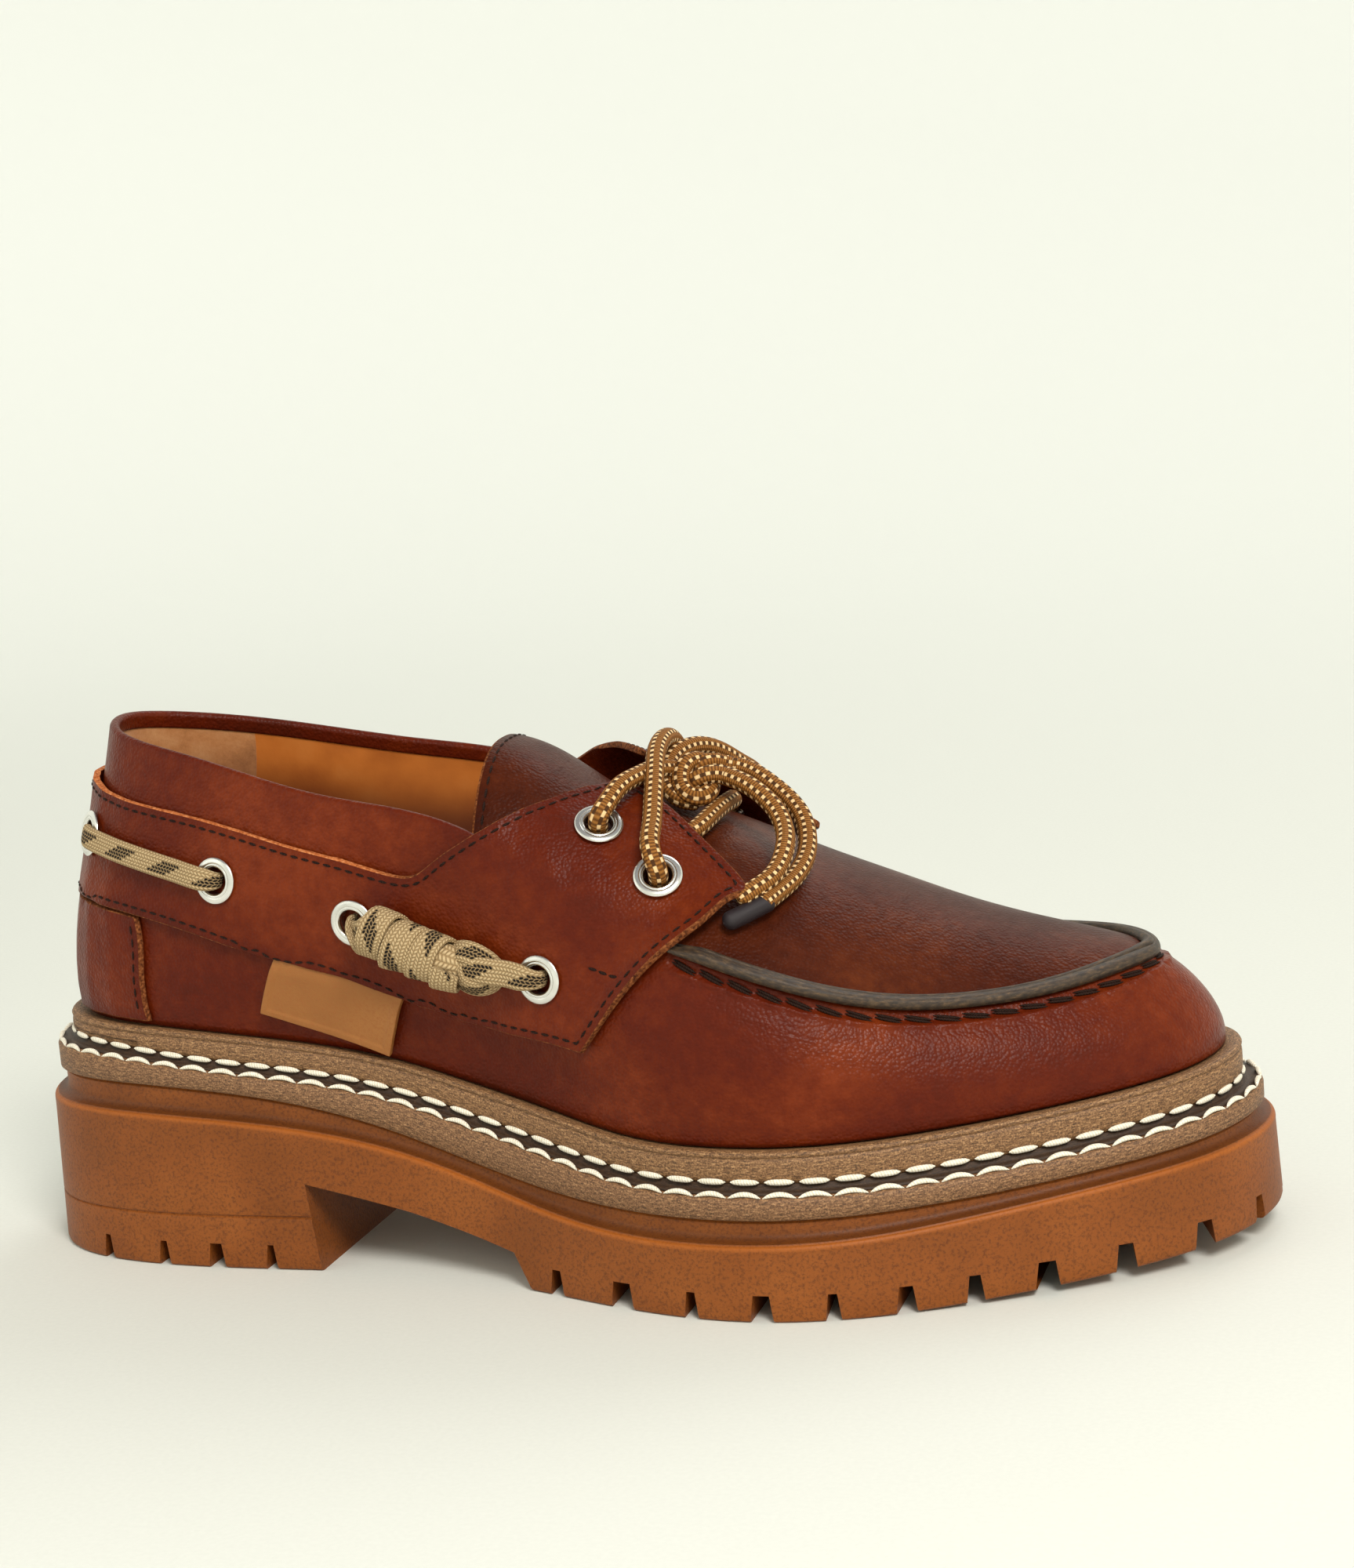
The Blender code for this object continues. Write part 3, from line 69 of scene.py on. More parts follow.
# %% The last's table, in millimetres
MM = 0.001
GAP, OVERLAY_GAP = 0.3, 0.6      # what neighbours and overlays keep to the form under them
LEATHER, OVERLAY, TONGUE = 2.0, 1.6, 2.2
LAST_COLUMNS = ("x", "y", "inset", "low_out", "low_up", "high_out", "high_down",
                "edge_x", "edge_y", "edge_z")
LAST = (
    ("heel",     -1.3,   0.5, 11.0, 1.5, 20,  6, 30,  22.0,   1.5, 122.5),
    ("heel_l1",   6.5, -19.5, 10.0, 1.5, 20,  7, 30,  28.5, -12.0, 120.4),
    ("heel_l2",  34.0, -31.5,  8.0, 2.0, 18,  6, 26,  51.0, -21.0, 115.3),
    ("heel_l3",  75.0, -33.5,  7.3, 3.0, 18,  5, 24,  85.0, -29.0, 107.0),
    ("waist_l", 118.0, -38.5,  8.0, 3.5, 18,  4, 22, 120.0, -34.0,  99.3),
    ("ball_l0", 152.0, -51.0,  8.3, 3.5, 15,  6, 16, 150.0, -39.0,  82.0),
    ("ball_l",  186.0, -57.0,  8.3, 3.0, 12,  6, 12, 184.0, -43.8,  68.6),
    ("toe_l1",  222.0, -46.0,  8.6, 2.5,  9,  6,  7, 212.5, -33.0,  59.6),
    ("toe_l2",  252.0, -30.5,  8.8, 1.5,  8,  6,  4, 236.0, -18.8,  58.2),
    ("toe_l3",  275.0, -11.0,  9.4, 1.0,  8,  6,  3, 251.0,  -5.5,  60.0),
    ("tip",     282.4,  12.0,  9.8, 1.0,  8,  7,  2, 257.5,   7.5,  61.4),
    ("toe_m3",  275.5,  32.0,  9.4, 1.0,  8,  6,  3, 251.5,  21.5,  61.0),
    ("toe_m2",  255.0,  46.0,  8.8, 1.5,  8,  6,  4, 238.0,  31.5,  60.0),
    ("toe_m1",  224.0,  50.5,  8.6, 2.5,  9,  6,  7, 215.0,  38.5,  61.0),
    ("ball_m",  192.0,  51.0,  8.3, 3.0, 12,  6, 12, 187.0,  40.0,  69.2),
    ("ball_m0", 152.0,  42.5,  8.0, 3.5, 15,  5, 18, 150.0,  35.5,  84.0),
    ("waist_m", 115.0,  35.0,  7.5, 4.0, 18,  4, 24, 117.0,  34.0, 102.4),
    ("heel_m3",  75.0,  35.0,  7.3, 3.0, 18,  5, 24,  85.0,  31.0, 110.0),
    ("heel_m2",  34.0,  33.5,  8.0, 2.0, 18,  6, 26,  50.0,  24.0, 117.2),
    ("heel_m1",   6.5,  21.0, 10.0, 1.5, 20,  7, 30,  28.5,  14.5, 121.2),
)
TIP, THROAT, INSTEP = 10, 4.95, 6
CREST = ((112, 113.5), (120, 113.8), (130, 111.0), (138, 106.5), (152, 100.5), (170, 93.5),
         (187, 86.0), (202, 79.7), (216, 73.8), (230, 69.0), (241, 66.0), (248, 64.4),
         (254, 63.2), (258, 61.9))
CREST_POWER = 2.2
SOLE = (  # x, top of the storm welt, foot of the midsole, lip
    ( -2, 55.1, 41.6, 35.3), ( 36, 53.8, 41.4, 34.7), ( 72, 50.6, 37.6, 31.9),
    ( 98, 46.3, 31.3, 27.2), (115, 42.1, 26.2, 22.6), (135, 37.8, 22.1, 17.6),
    (152, 34.8, 20.7, 15.6), (180, 34.0, 20.5, 15.3), (205, 34.3, 20.8, 16.0),
    (240, 36.5, 23.0, 19.4), (283, 40.8, 27.4, 23.6),
)
SPRING_FROM, TOE_SPRING = 205.0, 5.2
WELT = ((-2, 5.5), (24, 5.3), (48, 6.3), (80, 6.5), (110, 6.9), (180, 7.1), (250, 7.7),
        (283, 7.5))      # height of the storm welt's face at x
GROOVE = 1.3
WELT_INSET = ((0, 6.2), (36, 5.4), (118, 5.6), (193, 5.8), (283, 6.4))
MIDSOLE_INSET, BAND_INSET, FLARE = 2.2, 3.4, 0.8


# %% Smooth curves through short tables
def column(*names):
    return np.array([[row[1 + LAST_COLUMNS.index(n)] for n in names] for row in LAST], float)


def natural(xs, ys):
    """Natural cubic through a table: no bend at its ends, the same slope and bend at each knot."""
    xs, ys = np.asarray(xs, float), np.asarray(ys, float)
    n, h = len(xs), np.diff(xs)
    system, right = np.eye(n), np.zeros_like(ys)
    for i in range(1, n - 1):
        system[i, i - 1:i + 2] = h[i - 1], 2 * (h[i - 1] + h[i]), h[i]
        right[i] = 6 * ((ys[i + 1] - ys[i]) / h[i] - (ys[i] - ys[i - 1]) / h[i - 1])
    bend = np.linalg.solve(system, right)

    def at(x):
        x = np.clip(x, xs[0], xs[-1])
        i = np.clip(np.searchsorted(xs, x, side="right") - 1, 0, n - 2)
        a, b, k = xs[i + 1] - x, x - xs[i], h[i]
        if ys.ndim > 1:
            a, b, k = a[..., None], b[..., None], k[..., None]
        return ((bend[i] * a**3 + bend[i + 1] * b**3) / (6 * k)
                + (ys[i] / k - bend[i] * k / 6) * a + (ys[i + 1] / k - bend[i + 1] * k / 6) * b)
    return at


RIB_STEP = np.linalg.norm(np.roll(column("x", "y"), -1, 0) - column("x", "y"), axis=1)
RIB_AT = np.concatenate([[0], np.cumsum(RIB_STEP)])
AROUND = RIB_AT[-1]


def loop(rows):
    """Closed cubic through one row of values for each rib, by the place along the sole's edge."""
    rows = np.asarray(rows, float)
    m = len(rows)
    system, right = np.zeros((m, m)), np.zeros_like(rows)
    for i in range(m):
        before, after = RIB_STEP[i - 1], RIB_STEP[i]
        system[i, i - 1] += before
        system[i, i] += 2 * (before + after)
        system[i, (i + 1) % m] += after
        right[i] = 6 * ((rows[(i + 1) % m] - rows[i]) / after - (rows[i] - rows[i - 1]) / before)
    bend = np.linalg.solve(system, right)

    def at(t):
        t = np.mod(np.asarray(t, float), AROUND)
        i = np.clip(np.searchsorted(RIB_AT, t, side="right") - 1, 0, m - 1)
        j = (i + 1) % m
        b = ((t - RIB_AT[i]) / RIB_STEP[i])[..., None]
        a = 1 - b
        return (a * rows[i] + b * rows[j]
                + ((a**3 - a) * bend[i] + (b**3 - b) * bend[j]) * RIB_STEP[i][..., None]**2 / 6)
    return at


OUTLINE = loop(column("x", "y"))
EDGE = loop(column("edge_x", "edge_y", "edge_z"))
SIDE = loop(column("inset", "low_out", "low_up", "high_out", "high_down"))
TOP_OF_WELT, FOOT_OF_MIDSOLE, LIP = (
    natural([r[0] for r in SOLE], [r[c] for r in SOLE]) for c in (1, 2, 3))
welt_inset = natural(*zip(*WELT_INSET))
welt_height = natural(*zip(*WELT))
crest = natural(*zip(*CREST))


def smoothstep(x, low, high):
    """0 below low, 1 above high, with a soft start and end between them."""
    share = np.clip((np.asarray(x, float) - low) / (high - low), 0, 1)
    return share * share * (3 - 2 * share)


def unit(v):
    return v / np.maximum(np.linalg.norm(v, axis=-1, keepdims=True), 1e-12)


def run_along(points):
    """The length run along a polyline at each of its points."""
    return np.concatenate([[0], np.cumsum(np.linalg.norm(np.diff(points, axis=0), axis=-1))])


def turns(sides):
    return np.linspace(0, 2 * math.pi, sides, endpoint=False)


# %% [markdown]
# ## Forms on the last
# Three functions of two parameters give the forms: the side of the upper, a cubic curve
# from the welt to its edge; the arch over the foot between the two edges; and a place
# "rib, q" that runs up the side (q 0 to 1) and on over the foot to its middle (q 2).

# %% The sole's edge, the upper's side and the arch over the foot
def tread(x):
    """Height of the tread: flat on the floor, then the toe spring's power curve."""
    return TOE_SPRING * (np.maximum(x - SPRING_FROM, 0) / (283.0 - SPRING_FROM))**1.5


def place(rib):
    return np.interp(np.mod(rib, len(LAST)), np.arange(len(LAST) + 1), RIB_AT)


def outward(t):
    """The edge curve's tangent, turned a quarter turn to point out of the shoe."""
    d = unit(OUTLINE(t + 0.05) - OUTLINE(t - 0.05))
    return np.stack([d[..., 1], -d[..., 0]], -1)


def outline(t, out=0.0):
    return OUTLINE(t) + np.asarray(out * np.ones_like(t))[..., None] * outward(t)


def side(t, v):
    """A Bezier cubic: foot on the welt, two handles that lean out, and the top edge."""
    t, v = np.broadcast_arrays(np.asarray(t, float), np.asarray(v, float))
    shape, n = SIDE(t), outward(t)
    out = np.concatenate([n, np.zeros(n.shape[:-1] + (1,))], -1)
    up = np.array([0, 0, 1.0])
    foot = OUTLINE(t) - shape[..., :1] * n
    low = np.concatenate([foot, (TOP_OF_WELT(foot[..., 0]) + GAP)[..., None]], -1)
    top = EDGE(t)
    low_handle = low + shape[..., 1:2] * out + shape[..., 2:3] * up
    top_handle = top + shape[..., 3:4] * out - shape[..., 4:5] * up
    v = v[..., None]
    a = 1 - v
    return a**3 * low + 3 * a * a * v * low_handle + 3 * a * v * v * top_handle + v**3 * top


little_side = natural(np.arange(INSTEP + 1), [RIB_AT[TIP - i] for i in range(INSTEP + 1)])
big_side = natural(np.arange(INSTEP + 1), [RIB_AT[TIP + i] for i in range(INSTEP + 1)])


def across(s, w):
    """A chord between the two edges, raised to the crest by one minus a power of w."""
    s, w = np.broadcast_arrays(np.asarray(s, float), np.asarray(w, float))
    near, far = EDGE(little_side(s)), EDGE(big_side(s))
    a = ((1 - w) / 2)[..., None]
    p = a * near + (1 - a) * far
    middle = (near + far) / 2
    p[..., 2] += (crest(middle[..., 0]) - middle[..., 2]) * (1 - np.abs(w)**CREST_POWER)
    return p


def over_last(rib, q, sign):
    """A place on the last: up the side to its edge at q 1, then over the foot to q 2."""
    rib, q = np.broadcast_arrays(np.asarray(rib, float), np.asarray(q, float))
    number = rib if sign < 0 else len(LAST) - rib
    low = side(place(number), np.clip(q, 0, 1))
    high = across(np.clip(TIP - rib, 0, INSTEP), np.clip(q - 2, -1, 0) * -sign)
    return np.where((q > 1)[..., None], high, low)


edge_points = outline(np.linspace(0, AROUND, 2000), FLARE)
CENTRE = np.array([*(edge_points.min(0) + edge_points.max(0)) / 2, 0.0])
print("middle of the sole, mm:", CENTRE.round(2))


# %% [markdown]
# ## From arrays to meshes
# Every piece below is a grid: rows by columns of points. One helper numbers the corners of
# a grid's cells, also across a joined seam, and one puts points, faces, a map in
# millimetres and named values into a mesh. Closed shells are turned right side out by the
# sign of their volume, so no face points inwards.

# %% Grids and meshes
def cells(rows, columns, wrap_rows=False, wrap_columns=False):
    """Corners of each cell of a grid, and the same corners on a chart whose seam stays cut."""
    i, j = np.meshgrid(np.arange(rows - 1 + wrap_rows), np.arange(columns - 1 + wrap_columns),
                       indexing="ij")
    i, j = i[..., None] + [0, 1, 1, 0], j[..., None] + [0, 0, 1, 1]
    faces = (i % rows) * columns + j % columns
    return faces.reshape(-1, 4), (i * (columns + wrap_columns) + j).reshape(-1, 4)


def volume(points, faces, caps=()):
    """Signed volume: the sum over triangles of corner dot (next cross last), over six."""
    fans = [np.stack([np.full(len(c) - 2, c[0]), c[1:-1], c[2:]], 1) for c in map(np.asarray, caps)]
    triangles = np.vstack([faces[:, [0, 1, 2]], faces[:, [0, 2, 3]], *fans])
    a, b, c = (points[triangles[:, k]] for k in range(3))
    return np.sum(a * np.cross(b, c)) / 6


def smooth(mesh, sharp=None):
    """Smooth shading, and sharp edges where two faces meet at more than so many degrees."""
    mesh.polygons.foreach_set("use_smooth", np.ones(len(mesh.polygons), bool))
    if sharp is not None:
        mesh.set_sharp_from_angle(angle=math.radians(sharp))


def give(mesh, title, numbers):
    """One named number at each of a mesh's points."""
    mesh.attributes.new(title, "FLOAT", "POINT").data.foreach_set(
        "value", np.asarray(numbers, float).ravel())


def placed(name, data):
    made = bpy.data.objects.new(name, data)
    bpy.context.collection.objects.link(made)
    return made


def piece(name, points, faces, finish, slot, *nodes, caps=(), chart=None, values=None,
          sharp=None):
    """One finished piece: points in the tables' millimetres, quads, and caps of many corners.

    chart is (quads' corners on the map, caps' corners, the map in millimetres); values are
    named numbers at the points. A shell with a negative volume is turned inside out."""
    points = np.asarray(points, float).reshape(-1, 3)
    turn = -1 if volume(points, faces, caps) < 0 else 1
    corners = faces[:, ::turn].tolist() + [list(cap)[::turn] for cap in caps]
    mesh = bpy.data.meshes.new(name)
    mesh.from_pydata(((points - CENTRE) * MM).tolist(), [], corners)
    if chart is not None:
        quads, ends, place_on_map = chart
        numbers = np.concatenate([quads[:, ::turn].ravel(), *(np.asarray(e)[::turn] for e in ends)])
        mesh.uv_layers.new(name="map").data.foreach_set(
            "uv", np.asarray(place_on_map, float).reshape(-1, 2)[numbers].ravel())
    for title, numbers in (values or {}).items():
        give(mesh, title, numbers)
    smooth(mesh, sharp)
    mesh.materials.append(finish)
    made = placed(name, mesh)
    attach(made, "root")
    if nodes:
        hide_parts(*nodes)
    print(f"{name}: {len(mesh.polygons)} faces")
    return made


def even_run(points, count=None, step=None):
    """A polyline at even steps of its own length: points, and the length run at each."""
    points = np.asarray(points, float)
    run = run_along(points)
    even = np.linspace(0, run[-1], count or max(2, round(run[-1] / step) + 1))
    return np.stack([np.interp(even, run, points[:, c]) for c in range(points.shape[1])], 1), even


def smooth_path(points, step):
    """A natural cubic through given points, at even steps."""
    points = np.asarray(points, float)
    run = run_along(points)
    return even_run(natural(run, points)(np.linspace(0, run[-1], 40 * len(points))), step=step)


def frames_along(path, up=None):
    """Unit tangent, sideways and up at each point; with no up given, carried without twist."""
    along = unit(np.gradient(path, axis=0))
    if up is None:
        axis = np.array([0, 0, 1.0]) if abs(along[0, 2]) < 0.9 else np.array([0, 1.0, 0])
        up = np.zeros_like(path)
        for i, direction in enumerate(along):
            axis = unit(axis - axis.dot(direction) * direction)
            up[i] = axis
    up = unit(up - np.sum(up * along, -1, keepdims=True) * along)
    return along, np.cross(along, up), up


DOME = np.radians([88, 70, 45, 22])      # how far round a rounded end its rings lie
DOME_HEIGHT = 0.8


def tube(path, half_width, half_height, up=None, sides=32, power=2.0):
    """Rings carried along a path: middle + width cos(turn) sideways + height sin(turn) up.

    A power above 2 squares the section off; at each end the rings shrink to a dome."""
    along, beside, up = frames_along(path, up)
    half_width, half_height = (np.broadcast_to(h, len(path)).astype(float)
                               for h in (half_width, half_height))
    small, bulge = np.cos(DOME), DOME_HEIGHT * np.sin(DOME)[:, None]
    centre = np.vstack([path[0] - along[0] * half_height[0] * bulge, path,
                        path[-1] + along[-1] * half_height[-1] * bulge[::-1]])
    half_width, half_height = (np.concatenate([h[0] * small, h, h[-1] * small[::-1]])
                               for h in (half_width, half_height))
    beside, up = (np.vstack([np.repeat(v[:1], len(DOME), 0), v, np.repeat(v[-1:], len(DOME), 0)])
                  for v in (beside, up))
    turn = turns(sides)
    c = np.sign(np.cos(turn)) * np.abs(np.cos(turn))**(2 / power)
    s = np.sign(np.sin(turn)) * np.abs(np.sin(turn))**(2 / power)
    rings = (centre[:, None] + beside[:, None] * (c * half_width[:, None])[..., None]
             + up[:, None] * (s * half_height[:, None])[..., None])
    run = run_along(centre)
    section = rings[len(rings) // 2]
    girth = np.cumsum(np.linalg.norm(np.roll(section, -1, 0) - section, axis=1))
    around = np.concatenate([[0], girth / girth[-1]])
    chart = np.stack(np.broadcast_arrays(around[None, :], run[:, None]), -1)
    return rings, chart


def tube_piece(name, rings, chart, finish, slot, *nodes, values=None):
    """A tube's rings joined round, with one many-cornered face at each end."""
    count, sides = rings.shape[:2]
    faces, corners = cells(count, sides, wrap_columns=True)
    ring = np.arange(sides)
    caps = (ring[::-1], (count - 1) * sides + ring)
    ends = (ring[::-1], (count - 1) * (sides + 1) + ring)
    return piece(name, rings, faces, finish, slot, *nodes, caps=caps,
                 chart=(corners, ends, chart), values=values)


# %% [markdown]
# ## The camera
# It looks down a little at the little-toe side from the shoe's front quarter, tilted a few
# degrees about its own axis. A long lens keeps the shoe's proportions calm.

# %% Place the camera
AZIMUTH, ELEVATION, ROLL = (math.radians(a) for a in (17.43, 9.26, -4.7))
DISTANCE, LENS, AIM = 599.0, 62.24, np.array([157.0, 2.4, 101.45])
look = np.array([-math.sin(AZIMUTH) * math.cos(ELEVATION),
                 math.cos(AZIMUTH) * math.cos(ELEVATION), -math.sin(ELEVATION)])
level = np.array([math.cos(AZIMUTH), math.sin(AZIMUTH), 0.0])
over = np.cross(level, look)
right = math.cos(ROLL) * level + math.sin(ROLL) * over
top = -math.sin(ROLL) * level + math.cos(ROLL) * over
stand = (AIM - CENTRE - DISTANCE * look) * MM
camera = placed("camera", bpy.data.cameras.new("camera"))
camera.data.lens, camera.data.sensor_width, camera.data.clip_start = LENS, 36.0, 0.01
camera.matrix_world = Matrix([[right[i], top[i], -look[i], stand[i]] for i in range(3)]
                             + [[0, 0, 0, 1]])
bpy.context.scene.camera = camera
print("camera at", stand.round(3))

# %% [markdown]
# ## Nodes and colours
# A finish is a small graph of nodes. One function adds a node with its settings and links;
# colours are the hex values of a colour picker, turned from sRGB to linear light.

# %% Nodes and colours
def colour(code):
    """The sRGB curve undone for each channel: a power of 2.4, straight near black."""
    values = np.array([int(code[i:i + 2], 16) for i in (1, 3, 5)]) / 255
    return (*np.where(values <= 0.04045, values / 12.92, ((values + 0.055) / 1.055)**2.4), 1.0)


def plug(made, sockets):
    """Gives sockets a value, or a link from another node's first output or a chosen one.

    sockets is a dictionary by name or number, or a tuple of values in the sockets' order."""
    for name, value in sockets.items() if isinstance(sockets, dict) else enumerate(sockets):
        if isinstance(value, bpy.types.Node):
            value = value.outputs[0]
        if isinstance(value, bpy.types.NodeSocket):
            made.id_data.links.new(value, made.inputs[name])
        else:
            made.inputs[name].default_value = value


def node(tree, kind, sockets=None, stops=None, **settings):
    """Adds a node: its settings, its sockets' values or links, and a ramp's stops."""
    made = tree.nodes.new("ShaderNode" + kind)
    for name, value in settings.items():
        setattr(made, name, value)
    plug(made, sockets or {})
    if stops:
        ramp = made.color_ramp
        while len(ramp.elements) < len(stops):
            ramp.elements.new(1.0)
        for element, (at, shade) in zip(ramp.elements, stops):
            element.position = at
            element.color = colour(shade) if isinstance(shade, str) else (shade, shade, shade, 1)
    return made


def material(name):
    """A new material with its tree and its shader."""
    made = bpy.data.materials.new(name)
    made.use_nodes = True
    return made, made.node_tree, made.node_tree.nodes["Principled BSDF"]


# %% [markdown]
# ## A pale studio
# The floor and the backdrop are one bowl turned round the shoe: flat, then a wide cove,
# then a wall, so no horizon shows from any side. Large soft lights hang inside it, and the
# sky fills the shadows.

# %% Floor, backdrop and lights
WALL_GLOW, BOWL_SIDES = 0.42, 96
FLAT, COVE, WALL_TOP = (0.0, 0.3, 0.6, 0.9, 1.2), 1.6, 3.4      # metres
cove_turn = np.linspace(0.1, 1.57, 16)
radius = np.array([*FLAT, *(FLAT[-1] + COVE * np.sin(cove_turn)), FLAT[-1] + COVE])[:, None]
rise = np.array([*(0 * r for r in FLAT), *(COVE - COVE * np.cos(cove_turn)), WALL_TOP])[:, None]
angle = turns(BOWL_SIDES)
bowl = np.stack([radius * np.cos(angle), radius * np.sin(angle), rise + 0 * angle], -1)
faces, _ = cells(len(radius) - 1, BOWL_SIDES, wrap_columns=True)
mesh = bpy.data.meshes.new("studio_floor")
mesh.from_pydata([(0, 0, 0), *bowl[1:].reshape(-1, 3).tolist()], [], (faces + 1).tolist()
                 + [(0, 1 + k, 1 + (k + 1) % BOWL_SIDES) for k in range(BOWL_SIDES)])
smooth(mesh)
paper, tree, shader = material("matt pale paper, lit from behind where it rises")
at = node(tree, "TexCoord").outputs["Object"]
grain = node(tree, "TexNoise", {"Vector": at, "Scale": 900.0, "Detail": 2.0})
flat_away = node(tree, "VectorMath", (at,), operation="LENGTH")
far = node(tree, "MapRange", {"Value": flat_away.outputs["Value"], "From Min": 0.25,
                              "From Max": 2.4, "To Min": 0.0, "To Max": 1.0},
           interpolation_type="SMOOTHSTEP")
tint = node(tree, "ValToRGB", {"Fac": grain}, stops=((0.3, "#E0E1DA"), (0.7, "#E3E4DD")))
glow = node(tree, "Math", (far, WALL_GLOW), operation="MULTIPLY")
plug(shader, {"Base Color": tint, "Roughness": 0.95, "Emission Color": colour("#EAEBE4"),
              "Emission Strength": glow, "Specular IOR Level": 0.1})
mesh.materials.append(paper)
floor = placed("studio_floor", mesh)

LIT_HEIGHT = 0.05     # the lights look at the shoe so far over the floor
LIGHTS = (   # name, place in metres, size in metres, watts, colour
    ("key", (0.62, -0.87, 1.08), 0.55, 15.5, "#FFFBF5"),
    ("fill", (-1.1, -0.8, 0.7), 0.9, 0.9, "#FAFAFA"),
    ("back", (0.25, 1.0, 1.25), 0.9, 4.8, "#FFFFFF"),
)
for name, where, size, watts, shade in LIGHTS:
    lamp = bpy.data.lights.new(name, "AREA")
    lamp.shape, lamp.size, lamp.energy, lamp.color = "DISK", size, watts, colour(shade)[:3]
    away = Vector(where) - Vector((0, 0, LIT_HEIGHT))
    placed(name, lamp).matrix_world = (Matrix.Translation(where)
                                       @ away.to_track_quat("Z", "Y").to_matrix().to_4x4())
sky = bpy.data.worlds.new("studio_air")
sky.use_nodes = True
plug(sky.node_tree.nodes["Background"], {"Color": colour("#F8F8F6"), "Strength": 0.33})
bpy.context.scene.world = sky
bpy.context.scene.view_settings.view_transform = "Standard"

# %% [markdown]
# ## Laces that run free
# The round lace is a braid 4.2 mm thick. Its two free ends leave the knot, hang down over
# the near flap and end there, one in a short sleeve. Each is a fixed length of cord on one
# smooth curve, so its route comes before its looks.

# %% The braided lace's finish
LACE, LACE_ROWS, DOT_PITCH = 4.2, 6, 1.8      # across, bands, and mm from dot to dot
lace_braid, tree, shader = material("waxed cotton braid, brown with cream picks")
# Six bands run along it: in each, cream and dark brown yarns take turns, and between two
# bands the plain brown yarns stand up as a rib. The map's u runs once round, v along in mm.
chart = node(tree, "UVMap", uv_map="map")
parts = node(tree, "SeparateXYZ", (chart,))
rows = node(tree, "Math", (parts, float(LACE_ROWS)), operation="MULTIPLY")
steps = node(tree, "Math", (parts.outputs[1], DOT_PITCH), operation="DIVIDE")
row_number = node(tree, "Math", (rows,), operation="FLOOR")
half_step = node(tree, "Math", (row_number, 0.5, steps), operation="MULTIPLY_ADD")
row_place = node(tree, "Math", (rows,), operation="FRACT")
step_place = node(tree, "Math", (half_step,), operation="FRACT")
wobble = node(tree, "TexNoise", {"Scale": 1400.0, "Detail": 2.0})
row_off = node(tree, "Math", (row_place, 0.5), operation="SUBTRACT")
off_row = node(tree, "Math", (row_off,), operation="ABSOLUTE")
step_off = node(tree, "Math", (step_place, 0.5), operation="SUBTRACT")
off_step = node(tree, "Math", (step_off,), operation="ABSOLUTE")
ragged = node(tree, "Math", (wobble, 0.06, off_row), operation="MULTIPLY_ADD")
in_band = node(tree, "MapRange", {"Value": ragged, "From Min": 0.19, "From Max": 0.25,
                                  "To Min": 1.0, "To Max": 0.0})
in_step = node(tree, "MapRange", {"Value": off_step, "From Min": 0.20, "From Max": 0.25,
                                  "To Min": 1.0, "To Max": 0.0})
dot = node(tree, "Math", (in_band, in_step), operation="MULTIPLY")
plait = node(tree, "Math", (parts.outputs[1], 2 * math.pi / 0.62), operation="MULTIPLY")
plait_wave = node(tree, "Math", (plait,), operation="SINE")
ribbed = node(tree, "MapRange", {"Value": off_row, "From Min": 0.27, "From Max": 0.5, "To Min": 0.0,
                                 "To Max": 1.0})
rib_tone = node(tree, "Math", (plait_wave, 0.16, wobble), operation="MULTIPLY_ADD")
yarn = node(tree, "ValToRGB", {"Fac": rib_tone}, stops=((0.3, "#4E2B0C"), (0.5, "#83501C"),
                                                        (0.7, "#A56F32")))
banded = node(tree, "Mix", {0: in_band, 6: yarn, 7: colour("#482A0F")}, data_type="RGBA")
cream = node(tree, "Mix", {0: dot, 6: banded.outputs[2], 7: colour("#EDC792")}, data_type="RGBA")
risen = node(tree, "Math", (dot, 0.9, ribbed), operation="MULTIPLY_ADD")
height = node(tree, "Math", (plait_wave, 0.18, risen), operation="MULTIPLY_ADD")
bump = node(tree, "Bump", {"Height": height, "Strength": 0.8, "Distance": 0.0002})
plug(shader, {"Base Color": cream.outputs[2], "Normal": bump, "Roughness": 0.72,
              "Specular IOR Level": 0.2})

# %% [markdown]
# The sleeve at the lace's tip is a short tube shrunk over the braid and dipped in dark
# lacquer: almost smooth, a little crimped, with a soft highlight.

# %% The sleeve's finish
sleeve_lacquer, tree, shader = material("dark lacquered lace tip")
streak = node(tree, "TexNoise", {"Scale": 420.0, "Detail": 3.0})
shade = node(tree, "ValToRGB", {"Fac": streak}, stops=((0.3, "#171114"), (0.75, "#30262A")))
bump = node(tree, "Bump", {"Height": streak, "Strength": 0.25, "Distance": 0.0002})
plug(shader, {"Base Color": shade, "Normal": bump, "Roughness": 0.5, "Specular IOR Level": 0.35})

